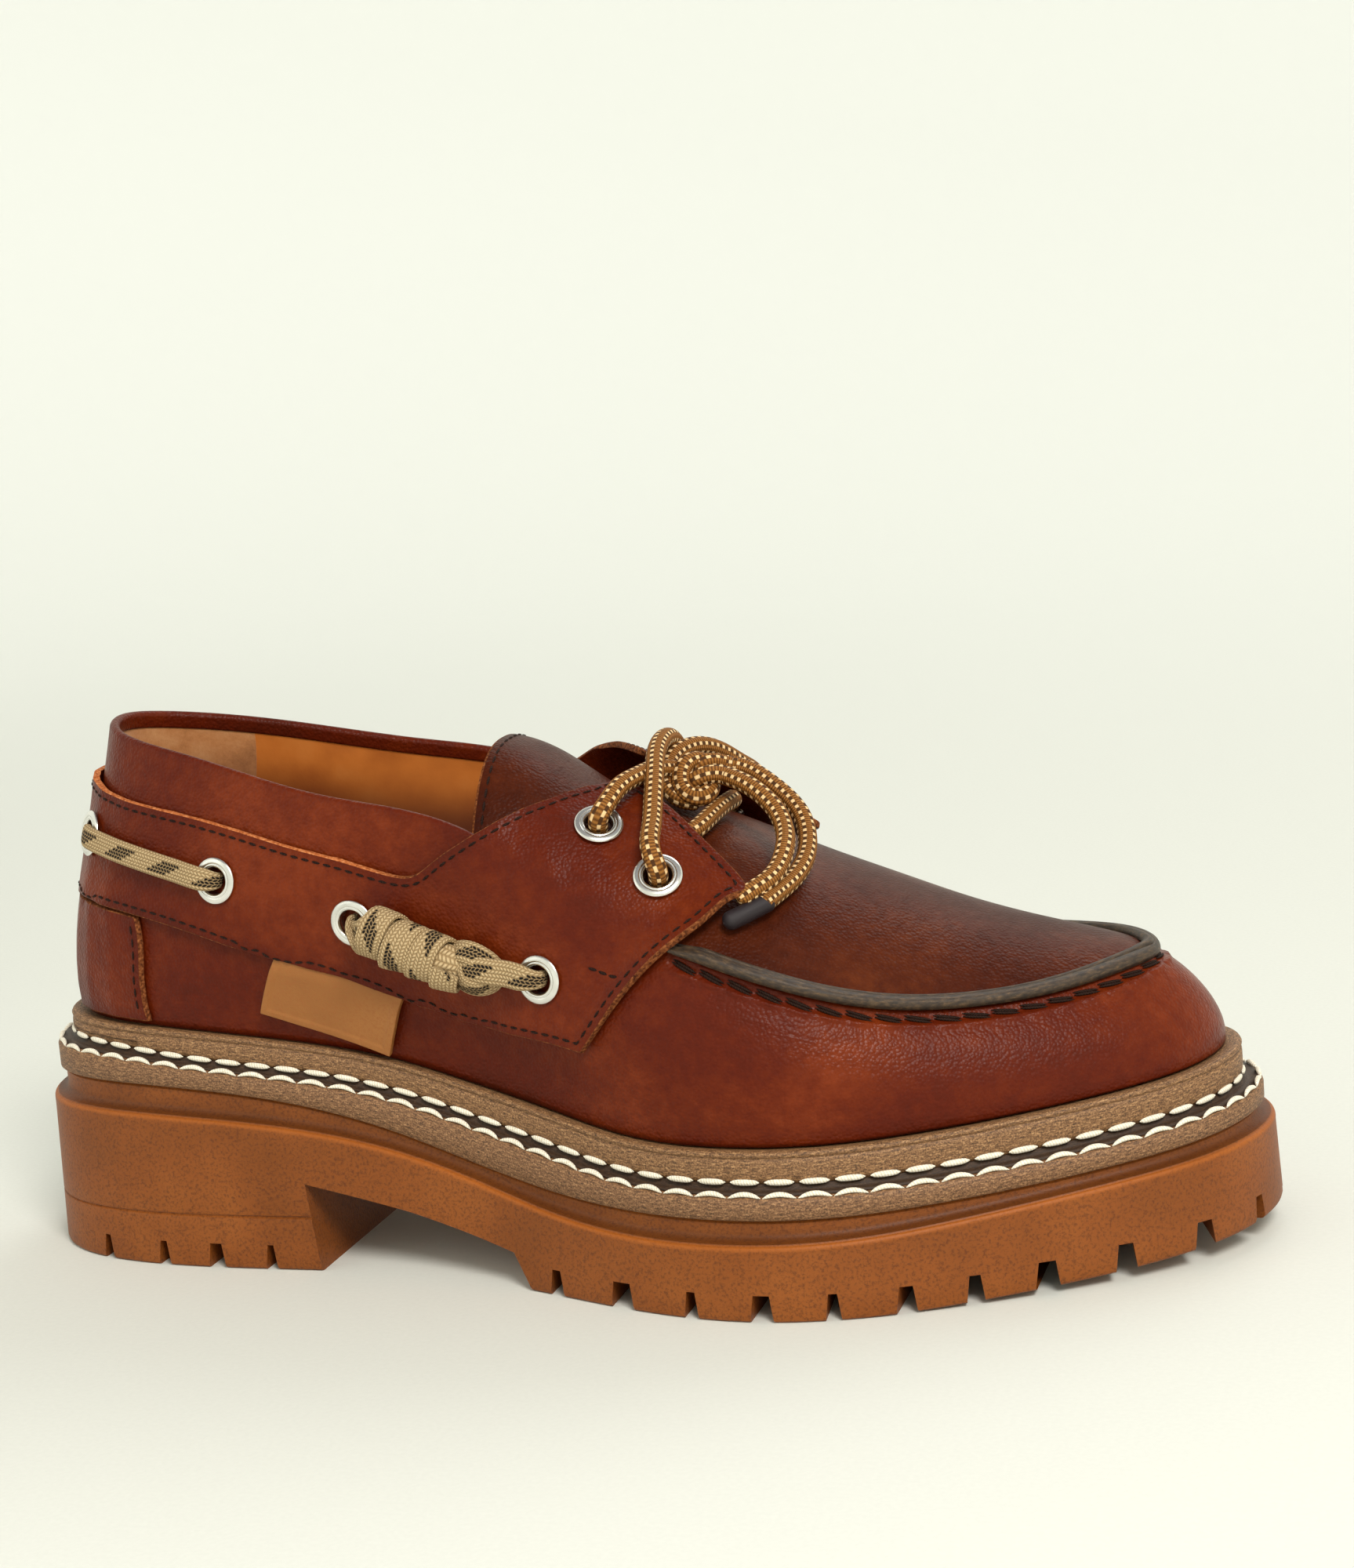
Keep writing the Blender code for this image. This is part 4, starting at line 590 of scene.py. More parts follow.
# %% The two free ends and the tip
ENDS = {   # routes in the tables' millimetres, from the knot to the tip
    "lace_end_outer": ((169.4, -1.0, 106.0), (173.9, -0.1, 104.7), (178.5, -1.4, 102.3),
                       (183.0, -2.9, 99.0), (186.9, -5.6, 95.1), (189.1, -10.3, 90.8),
                       (189.6, -16.0, 87.4), (188.3, -22.5, 84.6), (186.2, -28.3, 82.9),
                       (184.9, -32.6, 82.0)),
    "lace_end_inner": ((171.1, -6.1, 104.3), (175.9, -8.3, 102.8), (180.3, -10.4, 100.2),
                       (183.6, -12.4, 97.0), (185.7, -15.7, 93.7), (186.8, -20.8, 91.0),
                       (186.4, -25.2, 88.0), (185.0, -29.2, 86.0), (182.6, -32.6, 84.6),
                       (180.9, -34.4, 83.6)),
}
SLEEVE = ((185.2, -32.2, 81.9), (183.4, -34.0, 81.2), (181.6, -35.7, 80.5), (180.0, -37.1, 79.9),
          (178.8, -38.1, 79.5))


def lace_tube(name, route, *nodes, radius=LACE / 2, finish=lace_braid, slot="brown_lace"):
    """A round lace: circles of one radius carried along a smooth route."""
    path, _ = smooth_path(route, 0.5)
    return tube_piece(name, *tube(path, radius, radius, sides=40), finish, slot, *nodes), path


sleeve, _ = lace_tube("lace_tip", SLEEVE, "front_lace_aglet", radius=2.05,
                      finish=sleeve_lacquer, slot="aglet")
for name, node_name, tip in (("lace_end_outer", "front_lace_end_outer", [sleeve]),
                             ("lace_end_inner", "front_lace_end_inner", [])):
    lace, path = lace_tube(name, ENDS[name], node_name)
    reach = run_along(path)[-1]
    print(name, "mm of lace:", round(reach, 1))


# %% [markdown]
# ## Leathers
# The upper is full-grain leather stuffed with oils and waxes. Where it is handled the wax
# moves, so its colour is cloudy from nearly black brown to red-brown, and its polish
# changes with it. Three sizes of noise give that: clouds of 25 mm, mottles of 4 mm and the
# grain's own pebbles under a millimetre, which also lift the surface.

# %% Pull-up leather
def leather(name, shades, roughness, gloss):
    """Waxed leather: soft clouds and mottles in a ramp; wrinkled pebbles and pores in relief.

    The attribute edge_mm darkens the last 3 mm before an edge, and below zero shows fibres;
    pale_fibre_and_highlight makes these orange: paler fibres, and a painted highlight on a rim that
    faces the light; wrinkle adds long fine folds along the map."""
    made, tree, shader = material(name)
    at = node(tree, "TexCoord").outputs["Object"]
    cloud = node(tree, "TexNoise", {"Vector": at, "Scale": 28.0, "Detail": 2.0, "Roughness": 0.45,
                                    "Distortion": 0.3})
    mottle = node(tree, "TexNoise", {"Vector": at, "Scale": 330.0, "Detail": 3.0,
                                     "Roughness": 0.65})
    both = node(tree, "Math", (mottle, 0.5, cloud), operation="MULTIPLY_ADD")
    rim = node(tree, "Attribute", attribute_name="edge_mm")
    near = node(tree, "MapRange", {"Value": rim.outputs["Fac"], "From Min": 0.0, "From Max": 3.0,
                                   "To Min": 0.14, "To Max": 0.0})
    toned = node(tree, "Math", (both, near), operation="SUBTRACT")
    shade = node(tree, "ValToRGB", {"Fac": toned}, stops=shades)
    raw = node(tree, "MapRange", {"Value": rim.outputs["Fac"], "From Min": -0.3, "From Max": -0.05,
                                  "To Min": 1.0, "To Max": 0.0})
    fibre = node(tree, "TexNoise", {"Vector": at, "Scale": 1500.0, "Detail": 2.0})
    fibres = node(tree, "ValToRGB", {"Fac": fibre}, stops=((0.3, "#3E1D0D"), (0.5, "#6E3A1C"),
                                                           (0.75, "#9A5E35")))
    # Orange for the rim: paler fibres, and a painted highlight where a top rim faces the light.
    orange = node(tree, "ValToRGB", {"Fac": fibre}, stops=((0.3, "#8E4620"), (0.5, "#C06C3A"),
                                                           (0.75, "#E09A66")))
    rim_fibre_and_highlight = node(tree, "Attribute", attribute_name="pale_fibre_and_highlight")
    either = node(tree, "Mix", {0: rim_fibre_and_highlight.outputs["Fac"], 6: fibres, 7: orange}, data_type="RGBA")
    cut_edge = node(tree, "Mix", {0: raw, 6: shade, 7: either.outputs[2]}, data_type="RGBA")
    pebbles = node(tree, "TexVoronoi", {"Vector": at, "Scale": 1300.0, "Randomness": 0.95})
    creped = node(tree, "TexNoise", {"Vector": at, "Scale": 800.0, "Detail": 2.0, "Roughness": 0.6,
                                     "Distortion": 0.2})
    grain = node(tree, "Math", (pebbles, -2.6, creped), operation="MULTIPLY_ADD")
    chart = node(tree, "UVMap", uv_map="map")
    long_way = node(tree, "Mapping", {"Vector": chart, "Scale": (0.09, 0.75, 1.0)})
    folds = node(tree, "TexNoise", {"Vector": long_way, "Scale": 1.0, "Detail": 2.0,
                                    "Distortion": 0.5})
    folded = node(tree, "Attribute", attribute_name="wrinkle")
    folding = node(tree, "Math", (folds, folded.outputs["Fac"]), operation="MULTIPLY")
    relief = node(tree, "Math", (folding, 3.5, grain), operation="MULTIPLY_ADD")
    bump = node(tree, "Bump", {"Height": relief, "Strength": 0.5, "Distance": 0.00011})
    polish = node(tree, "MapRange", {"Value": both, "From Min": 0.55, "From Max": 0.95,
                                     "To Min": roughness + 0.05, "To Max": roughness - 0.05})
    dry = node(tree, "Math", (raw, 0.45, polish), operation="MULTIPLY_ADD", use_clamp=True)
    plug(shader, {"Base Color": cut_edge.outputs[2], "Roughness": dry, "Normal": bump,
                  "Specular IOR Level": gloss})
    return made


red_brown_leather = leather(
    "full-grain pull-up leather, red-brown",
    ((0.42, "#4A1607"), (0.66, "#571906"), (0.82, "#632107"), (1.0, "#752D0F")), 0.35, 0.13)
dark_leather = leather(
    "full-grain pull-up leather, dark brown",
    ((0.42, "#341107"), (0.66, "#401708"), (0.82, "#4C1E0C"), (1.0, "#5E2A12")), 0.37, 0.07)

# %% Raw edge of the seam
raw_edge, tree, shader = material("waxed raw edge, grey-brown")
# Two thicknesses of leather cut together: fibres pressed flat and stained, with a fine
# dark line between the layers, which lies along the map's length.
chart = node(tree, "UVMap", uv_map="map")
long_way = node(tree, "Mapping", {"Vector": chart, "Scale": (14.0, 0.45, 1.0)})
flecks = node(tree, "TexNoise", {"Vector": long_way, "Scale": 1.0, "Detail": 5.0, "Roughness": 0.7})
shade = node(tree, "ValToRGB", {"Fac": flecks}, stops=((0.3, "#170F08"), (0.48, "#342517"),
                                                       (0.6, "#4F3B25"), (0.75, "#765531")))
bump = node(tree, "Bump", {"Height": flecks, "Strength": 0.5, "Distance": 0.0002})
plug(shader, {"Base Color": shade, "Roughness": 0.55, "Normal": bump})

# %% [markdown]
# Linings are thinner: a smooth tan calf in front, and at the heel a suede, whose cut fibres
# stand up and scatter the light softly. Both are painted darker towards the foot, as painted shade
# deep in the shoe.

# %% Lining leather and suede
lining_leather, tree, shader = material("smooth calf lining, tan")
at = node(tree, "TexCoord").outputs["Object"]
cloud = node(tree, "TexNoise", {"Vector": at, "Scale": 60.0, "Detail": 4.0})
shade = node(tree, "ValToRGB", {"Fac": cloud}, stops=((0.3, "#AA5A1E"), (0.55, "#C8722B"),
                                                      (0.75, "#D4823B")))
pores = node(tree, "TexVoronoi", {"Vector": at, "Scale": 1300.0})
bump = node(tree, "Bump", {"Height": pores, "Strength": 0.15, "Distance": 0.0001})
# Painted shade: the attribute depth darkens the calf deep inside the shoe.
depth = node(tree, "Attribute", attribute_name="depth")
painted_shade_below = node(tree, "Mix", {0: depth.outputs["Fac"], 6: shade, 7: colour("#4E1B06")},
              data_type="RGBA")
plug(shader, {"Base Color": painted_shade_below.outputs[2], "Roughness": 0.5, "Normal": bump})

lining_suede, tree, shader = material("suede lining, brown")
at = node(tree, "TexCoord").outputs["Object"]
nap = node(tree, "TexNoise", {"Vector": at, "Scale": 90.0, "Detail": 6.0, "Roughness": 0.7})
shade = node(tree, "ValToRGB", {"Fac": nap}, stops=((0.3, "#8A5426"), (0.5, "#B97A45"),
                                                    (0.7, "#CC9460")))
fibre = node(tree, "TexNoise", {"Vector": at, "Scale": 1500.0, "Detail": 3.0})
bump = node(tree, "Bump", {"Height": fibre, "Strength": 0.5, "Distance": 0.0002})
# Painted shade: the attribute depth darkens the suede deep inside the shoe.
depth = node(tree, "Attribute", attribute_name="depth")
painted_shade_below = node(tree, "Mix", {0: depth.outputs["Fac"], 6: shade, 7: colour("#5A2A10")},
              data_type="RGBA")
plug(shader, {"Base Color": painted_shade_below.outputs[2], "Roughness": 0.9, "Normal": bump,
              "Sheen Weight": 0.35, "Sheen Roughness": 0.5})

# %% [markdown]
# ## Thread
# Linen thread, twisted from plies and waxed. A stitch is only a few millimetres long, so
# the twist is drawn as slanting bands across it.

# %% Waxed thread
def thread(name, dark, light):
    """Twisted plies: a wave in the map's length plus a share of its girth."""
    made, tree, shader = material(name)
    chart = node(tree, "UVMap", uv_map="map")
    parts = node(tree, "SeparateXYZ", (chart,))
    twist = node(tree, "Math", (parts, 1.0, parts.outputs[1]), operation="MULTIPLY_ADD")
    turned = node(tree, "Math", (twist, 2 * math.pi * 1.6), operation="MULTIPLY")
    ply = node(tree, "Math", (turned,), operation="SINE")
    soil = node(tree, "TexNoise", {"Scale": 300.0, "Detail": 3.0})
    tone = node(tree, "Math", (ply, 0.12, soil), operation="MULTIPLY_ADD")
    shade = node(tree, "ValToRGB", {"Fac": tone}, stops=((0.3, dark), (0.6, light)))
    bump = node(tree, "Bump", {"Height": ply, "Strength": 0.4, "Distance": 0.0001})
    plug(shader, {"Base Color": shade, "Roughness": 0.7, "Normal": bump,
                  "Specular IOR Level": 0.15})
    return made


cream_thread = thread("waxed linen thread, cream", "#D8CCB0", "#FAF4E6")
brown_thread = thread("waxed linen thread, dark brown", "#120905", "#2B160D")

# %% [markdown]
# ## Board, rubber and nickel
# The welt and midsole are built up from ground leather and cork: the cut side shows short
# grey and brown flecks lying along the layers. Gum rubber is natural rubber with its own
# amber colour, moulded, and here peppered with darker crumbs. Nickel-plated brass rings
# are polished before plating.

# %% Leather board
def board(name, shades):
    """Flecks: noise on the map squeezed in height, so they lie along the layers."""
    made, tree, shader = material(name)
    chart = node(tree, "UVMap", uv_map="map")
    long_way = node(tree, "Mapping", {"Vector": chart, "Scale": (1.0 / 1.6, 2.4, 1.0)})
    flecks = node(tree, "TexNoise", {"Vector": long_way, "Scale": 1.0, "Detail": 5.0,
                                     "Roughness": 0.75})
    pepper = node(tree, "TexNoise", {"Vector": chart, "Scale": 2.6, "Detail": 3.0,
                                     "Roughness": 0.7})
    mix = node(tree, "Math", (flecks, 0.55), operation="MULTIPLY")
    both = node(tree, "Math", (pepper, 0.45, mix), operation="MULTIPLY_ADD")
    shade = node(tree, "ValToRGB", {"Fac": both}, stops=shades)
    bump = node(tree, "Bump", {"Height": both, "Strength": 0.5, "Distance": 0.00025})
    plug(shader, {"Base Color": shade, "Roughness": 0.62, "Normal": bump})
    return made


welt_board = board("ground leather board, waxed",
                   ((0.38, "#36210F"), (0.46, "#66462A"), (0.53, "#8D6540"), (0.62, "#BE9668")))
midsole_board = board("ground leather and cork board",
                      ((0.38, "#35210F"), (0.46, "#64442A"), (0.53, "#88603E"), (0.62, "#B88F64")))
# Painted shade: this board fills the channel between welt and midsole, made dark where the groove
# lies in shade.
channel_shade_board = board("ground leather board, painted dark as shade in the channel",
                   ((0.36, "#1E120A"), (0.5, "#3A2616"), (0.66, "#5C4128")))

# %% Gum rubber
def rubber(name, shades, crumbs="#4A2410"):
    """Amber clouds, fine pepper; attribute wear lightens the bead (rubbed paler, and a painted
    highlight), grime darkens the cove (painted shade).
    """
    made, tree, shader = material(name)
    at = node(tree, "TexCoord").outputs["Object"]
    cloud = node(tree, "TexNoise", {"Vector": at, "Scale": 45.0, "Detail": 4.0})
    pepper = node(tree, "TexNoise", {"Vector": at, "Scale": 1500.0, "Detail": 2.0,
                                     "Roughness": 0.7})
    shade = node(tree, "ValToRGB", {"Fac": cloud}, stops=shades)
    speck = node(tree, "MapRange", {"Value": pepper, "From Min": 0.48, "From Max": 0.66,
                                    "To Min": 0.0, "To Max": 0.55})
    specked = node(tree, "Mix", {0: speck, 6: shade, 7: colour(crumbs)}, data_type="RGBA")
    # The bead: rubbed paler, and a painted highlight where the rounded bead catches the light.
    worn_and_lit = node(tree, "Attribute", attribute_name="wear_and_highlight")
    pale = node(tree, "Mix", {0: worn_and_lit.outputs["Fac"], 6: specked.outputs[2], 7: colour("#B9641C")},
                data_type="RGBA")
    # Painted shade: the cove under the midsole is darkened towards a deep brown.
    cove_shading = node(tree, "Attribute", attribute_name="cove_shade")
    cove_shaded = node(tree, "Mix", {0: cove_shading.outputs["Fac"], 6: pale.outputs[2], 7: colour("#3A1B08")},
                 data_type="RGBA")
    bump = node(tree, "Bump", {"Height": pepper, "Strength": 0.5, "Distance": 0.0002})
    plug(shader, {"Base Color": cove_shaded.outputs[2], "Roughness": 0.5, "Normal": bump,
                  "Specular IOR Level": 0.25})
    return made


gum_rubber = rubber("natural gum rubber, moulded",
                    ((0.3, "#7C4214"), (0.5, "#864818"), (0.7, "#90501D")))
tab_rubber = rubber("tan gum rubber, moulded",
                    ((0.3, "#8E5A2C"), (0.5, "#9A6332"), (0.7, "#A66D3A")), "#96592C")

# %% Nickel plate
nickel, tree, shader = material("polished nickel plate on brass")
at = node(tree, "TexCoord").outputs["Object"]
handled = node(tree, "TexNoise", {"Vector": at, "Scale": 260.0, "Detail": 3.0})
shade = node(tree, "ValToRGB", {"Fac": handled}, stops=((0.3, "#DBD9D3"), (0.7, "#F1EFEA")))
polish = node(tree, "MapRange", {"Value": handled, "From Min": 0.3, "From Max": 0.7, "To Min": 0.28,
                                 "To Max": 0.2})
plug(shader, {"Base Color": shade, "Roughness": polish, "Metallic": 1.0})


# %% [markdown]
# ## The sole
# Each layer is a plate: one closed outline, carried down a profile of (distance out,
# height). The outsole's profile has a cove under the midsole, a rounded bead that stands
# out, and straight sides to the tread. Notches and the arch are cut out of it.

# %% A plate of the sole
SOLE_COLUMNS = 720
ribs = np.concatenate([np.linspace(0, TIP, SOLE_COLUMNS // 2 + 1),
                       np.linspace(TIP, 2 * TIP, SOLE_COLUMNS // 2 + 1)[1:-1]])
SOLE_PLACES = place(ribs)


def plate_rings(levels):
    """Rings of a profile: out and height are numbers or functions of the edge's x."""
    rings = []
    x = OUTLINE(SOLE_PLACES)[:, 0]
    for out, height in levels:
        xy = outline(SOLE_PLACES, out(x) if callable(out) else out)
        rings.append(np.column_stack([xy, height(xy[:, 0])]))
    return np.array(rings)


def plate(name, levels, finish, slot, *nodes):
    """A plate: quads between its rings, and strips across its top and its floor."""
    rings = plate_rings(levels)
    count = rings.shape[1]
    faces, corners = cells(len(rings), count, wrap_columns=True)
    half = count // 2
    a = np.arange(1, half - 1)
    b = count - a
    strips, strip_corners, ends = [], [], []
    for level, way in ((0, -1), (len(rings) - 1, 1)):
        strip = np.stack([a, b, b - 1, a + 1], 1)[:, ::way]
        strips.append(level * count + strip)
        strip_corners.append(level * (count + 1) + strip)
        ends += [level * count + np.array(corner)[::way]
                 for corner in ((0, count - 1, 1), (half - 1, half + 1, half))]
    closed = np.concatenate([rings, rings[:, :1]], 1)
    run = run_along(closed[0, :, :2])
    deep = np.concatenate([np.zeros((1, count + 1)), np.cumsum(np.linalg.norm(
        np.diff(closed, axis=0), axis=-1), axis=0)])
    chart = np.stack(np.broadcast_arrays(run[None, :], -deep), -1)
    return piece(name, rings, np.vstack([faces, *strips]), finish, slot, *nodes, caps=ends,
                 chart=(np.vstack([corners, *strip_corners]), ends, chart))


# %% The storm welt and the midsole
def under_top(drop):
    return lambda x: TOP_OF_WELT(x) - drop


def from_edge(out):
    return lambda x: out - welt_inset(x)


def up_from_foot(up):
    return lambda x: TOP_OF_WELT(x) - welt_height(x) + up


WELT_FACE = (     # out from the welt's edge, drop under its top
    (-6.0, 0.5), (-3.0, 0.2), (-1.4, 0.0), (-0.7, 0.05), (-0.2, 0.3), (0.0, 0.7), (-0.1, 1.1),
    (-0.45, 1.35), (-0.5, 1.55), (-0.2, 1.75), (-0.05, 2.2), (0.0, 3.2))
WELT_FOOT = ((0.0, 2.4), (-0.1, 1.4), (-0.5, 0.7), (-1.0, 0.3), (-1.6, 0.0))     # out, up
plate("welt", [(from_edge(out), under_top(drop)) for out, drop in WELT_FACE]
      + [(from_edge(out), up_from_foot(up)) for out, up in WELT_FOOT],
      welt_board, "stacked_board", "storm_welt")


def ledge(x):
    return TOP_OF_WELT(x) - welt_height(x) - GROOVE


def over_ledge(up):
    return lambda x: ledge(x) + up


plate("midsole", [
    *((from_edge(out), over_ledge(up)) for out, up in (
        (-1.6, GROOVE - GAP), (-1.5, 0.5), (-1.2, 0.1), (0.0, 0.0), (1.4, -0.05))),
    *((-MIDSOLE_INSET - inset, over_ledge(up)) for inset, up in (
        (1.1, -0.2), (0.4, -0.5), (0.0, -1.2))),
    (-MIDSOLE_INSET, lambda x: 0.5 * ledge(x) + 0.5 * FOOT_OF_MIDSOLE(x)),
    (-MIDSOLE_INSET, lambda x: FOOT_OF_MIDSOLE(x) + 0.4),
    (-MIDSOLE_INSET - 0.5, FOOT_OF_MIDSOLE)], midsole_board, "stacked_board", "midsole")

# %% [markdown]
# The outsole is cut like the mould would: short notches between the lugs, some right
# across, others slanting in round the toe and heel, and one long opening under the arch.

# %% The outsole's profile
BEAD, TREAD_BEVEL, LUG = 0.9, 1.2, 5.8
BREAST = 76.0          # where the heel block ends
WAIST_CUT = ((BREAST - 1.8, 20.0), (100.0, 14.5), (125.5, 8.0), (129.0, 1.6), (131.0, -3.0))
FORE_NOTCHES = (       # x, width at the floor, whether it runs right across
    (136.4, 3.6, 0), (153.0, 5.6, 1), (169.3, 3.4, 0), (184.6, 5.0, 1), (199.0, 3.4, 0),
    (213.2, 4.2, 1), (226.2, 3.8, 0), (240.0, 4.8, 1), (254.8, 4.6, 0), (269.6, 4.8, 0))
HEEL_NOTCHES = ((21.0, 3.0, 0), (37.0, 3.2, 0), (50.7, 4.4, 0), (64.4, 3.0, 0))
END_NOTCHES = ((9.35, 4.0), (10.1, 4.0), (10.85, 4.0), (-0.45, 3.0), (0.45, 3.0))
NOTCH_REACH, NOTCH_TAPER = 16.0, 0.8


def above_lip(up):
    return lambda x: LIP(x) + up


HEEL_LINE, HEEL_LINE_DEPTH = 12.3, 0.4


def flank(height_of, depth=0.0):
    """A ring of the flank: it leans out to the tread; depth sinks it, at the heel only."""
    def share(x):
        high, low = LIP(x) - BEAD, tread(x) + TREAD_BEVEL
        return (high - height_of(x)) / (high - low)
    return (lambda x: -0.05 + share(x) * (FLARE + 0.05) - depth * smoothstep(-x, -77, -75),
            height_of)


def between(share, low=HEEL_LINE + 0.7):
    return lambda x: (1 - share) * (LIP(x) - BEAD) + share * low


cove = [(-BAND_INSET + 2.4 * (1 - math.cos(a)), above_lip(0.75 + 1.6 * (1 - math.sin(a))))
        for a in np.linspace(0, math.pi / 2, 7)]
bead = [(-0.8 + 0.8 * math.sin(a), above_lip(-0.75 + 1.15 * math.cos(a)))
        for a in np.linspace(0.0, math.pi / 2, 6)]
sides = [flank(between(share)) for share in (0.06, 0.2, 0.5, 0.8)] + [
    flank(lambda x, up=up: HEEL_LINE + up + 0 * x, depth) for up, depth in (
        (0.55, 0.0), (0.35, 0.05), (0.15, HEEL_LINE_DEPTH), (-0.15, HEEL_LINE_DEPTH),
        (-0.35, 0.05), (-0.55, 0.0))] + [
    flank(lambda x, share=share: (1 - share) * (HEEL_LINE - 0.7)
          + share * (tread(x) + TREAD_BEVEL)) for share in (0.25, 0.6)]
outsole = plate("outsole", (
    (-BAND_INSET - 0.5, lambda x: FOOT_OF_MIDSOLE(x) - GAP),
    (-BAND_INSET, lambda x: FOOT_OF_MIDSOLE(x) - GAP - 0.5),
    *cove, *bead, *sides, (FLARE, lambda x: tread(x) + TREAD_BEVEL),
    (FLARE - 0.2, lambda x: tread(x) + 0.5), (FLARE - 0.6, lambda x: tread(x) + 0.15),
    (FLARE - TREAD_BEVEL, tread)), gum_rubber, "gum_rubber", "outsole")


# %% Cutters for the notches and the arch
def rib_at_x(x, sign):
    """The rib on one side (-1 little toe, 1 big toe) where the sole's edge has this x."""
    ribs = np.linspace(0.3, TIP - 0.3, 400) if sign < 0 else np.linspace(TIP + 0.3, 19.7, 400)
    xs = OUTLINE(place(ribs))[:, 0]
    order = np.argsort(xs)
    return float(np.interp(x, xs[order], ribs[order]))


def notch(start, inward, width, reach, floor):
    """A six-sided bar from outside the sole inwards, narrower at its top."""
    inward = unit(np.asarray(inward, float))
    beside = np.array([-inward[1], inward[0]])
    half, narrow = width / 2, width / 2 - NOTCH_TAPER
    section = np.array(((-half, -3.0), (half, -3.0), (half, floor), (narrow, floor + LUG),
                        (-narrow, floor + LUG), (-half, floor)))
    along = np.array([-6.0, reach])[:, None, None]
    xy = start + along * inward + section[None, :, :1] * beside
    return np.concatenate([xy, np.broadcast_to(section[None, :, 1:], (2, 6, 1))], -1)


bars = []
for x, width, through in FORE_NOTCHES + HEEL_NOTCHES:
    for sign in (-1, 1):
        start = OUTLINE(place(rib_at_x(x, sign)))
        inward = np.array([0.0, -sign])
        if not through and x >= 190:
            inward = inward - 0.6 * outward(place(rib_at_x(x, sign)))
        if not (through and sign > 0):
            bars.append(notch(start, inward, width, 150.0 if through else NOTCH_REACH,
                              float(tread(x))))
for rib, width in END_NOTCHES:
    t = place(rib)
    bars.append(notch(OUTLINE(t), -outward(t), width, NOTCH_REACH, float(tread(OUTLINE(t)[0]))))
waist = np.array((*WAIST_CUT, (BREAST + 1.0, -3.0)))
waist = np.stack([np.column_stack([waist[:, 0], np.full(len(waist), y), waist[:, 1]])
                  for y in (-75.0, 75.0)])


def cut_by(target, solids):
    """An exact difference by bars, each of two rings joined round and closed by two caps."""
    group = bpy.data.collections.new("cutters")
    bpy.context.scene.collection.children.link(group)
    for solid in solids:
        ring = np.arange(solid.shape[1])
        walls, _ = cells(2, len(ring), wrap_columns=True)
        caps = (ring[::-1], len(ring) + ring)
        way = -1 if volume(solid.reshape(-1, 3), walls, caps) < 0 else 1
        mesh = bpy.data.meshes.new("cutter")
        mesh.from_pydata(((solid.reshape(-1, 3) - CENTRE) * MM).tolist(), [],
                         [face[::way].tolist() for face in (*walls, *caps)])
        group.objects.link(bpy.data.objects.new("cutter", mesh))
    modifier = target.modifiers.new("cut", "BOOLEAN")
    modifier.operation, modifier.solver = "DIFFERENCE", "EXACT"
    modifier.operand_type, modifier.collection = "COLLECTION", group
    bpy.context.view_layer.update()
    done = bpy.data.meshes.new_from_object(
        target.evaluated_get(bpy.context.evaluated_depsgraph_get()))
    target.modifiers.clear()
    target.data = done
    for cutter in list(group.objects):
        bpy.data.objects.remove(cutter)
    bpy.data.collections.remove(group)
    smooth(done, 32)
    return done


def points_of(mesh):
    """A mesh's points in the tables' millimetres."""
    xyz = np.empty(len(mesh.vertices) * 3)
    mesh.vertices.foreach_get("co", xyz)
    return xyz.reshape(-1, 3) / MM + CENTRE


mesh = cut_by(outsole, [waist, *bars])
xyz = points_of(mesh)
above_bead = xyz[:, 2] - LIP(xyz[:, 0])
# On the bead: rubbed paler, and a painted highlight.
give(mesh, "wear_and_highlight", 0.45 * np.exp(-((above_bead - 0.1) / 0.55)**2))
# The cove above the bead: painted shade.
give(mesh, "cove_shade", 0.6 * smoothstep(above_bead, 0.4, 0.9) * (1 - smoothstep(above_bead, 1.2, 3.4)))
print("outsole after cutting:", len(mesh.polygons), "faces")


# %% [markdown]
# ## Stitches on the sole
# Two rows of thick thread run round the edge. The upper row lies flat on the welt as
# separate lozenges; the lower row, half a pitch on, arches over the groove like a row of
# crescents. One stitch is a spindle of few faces, bent along the edge it lies on.

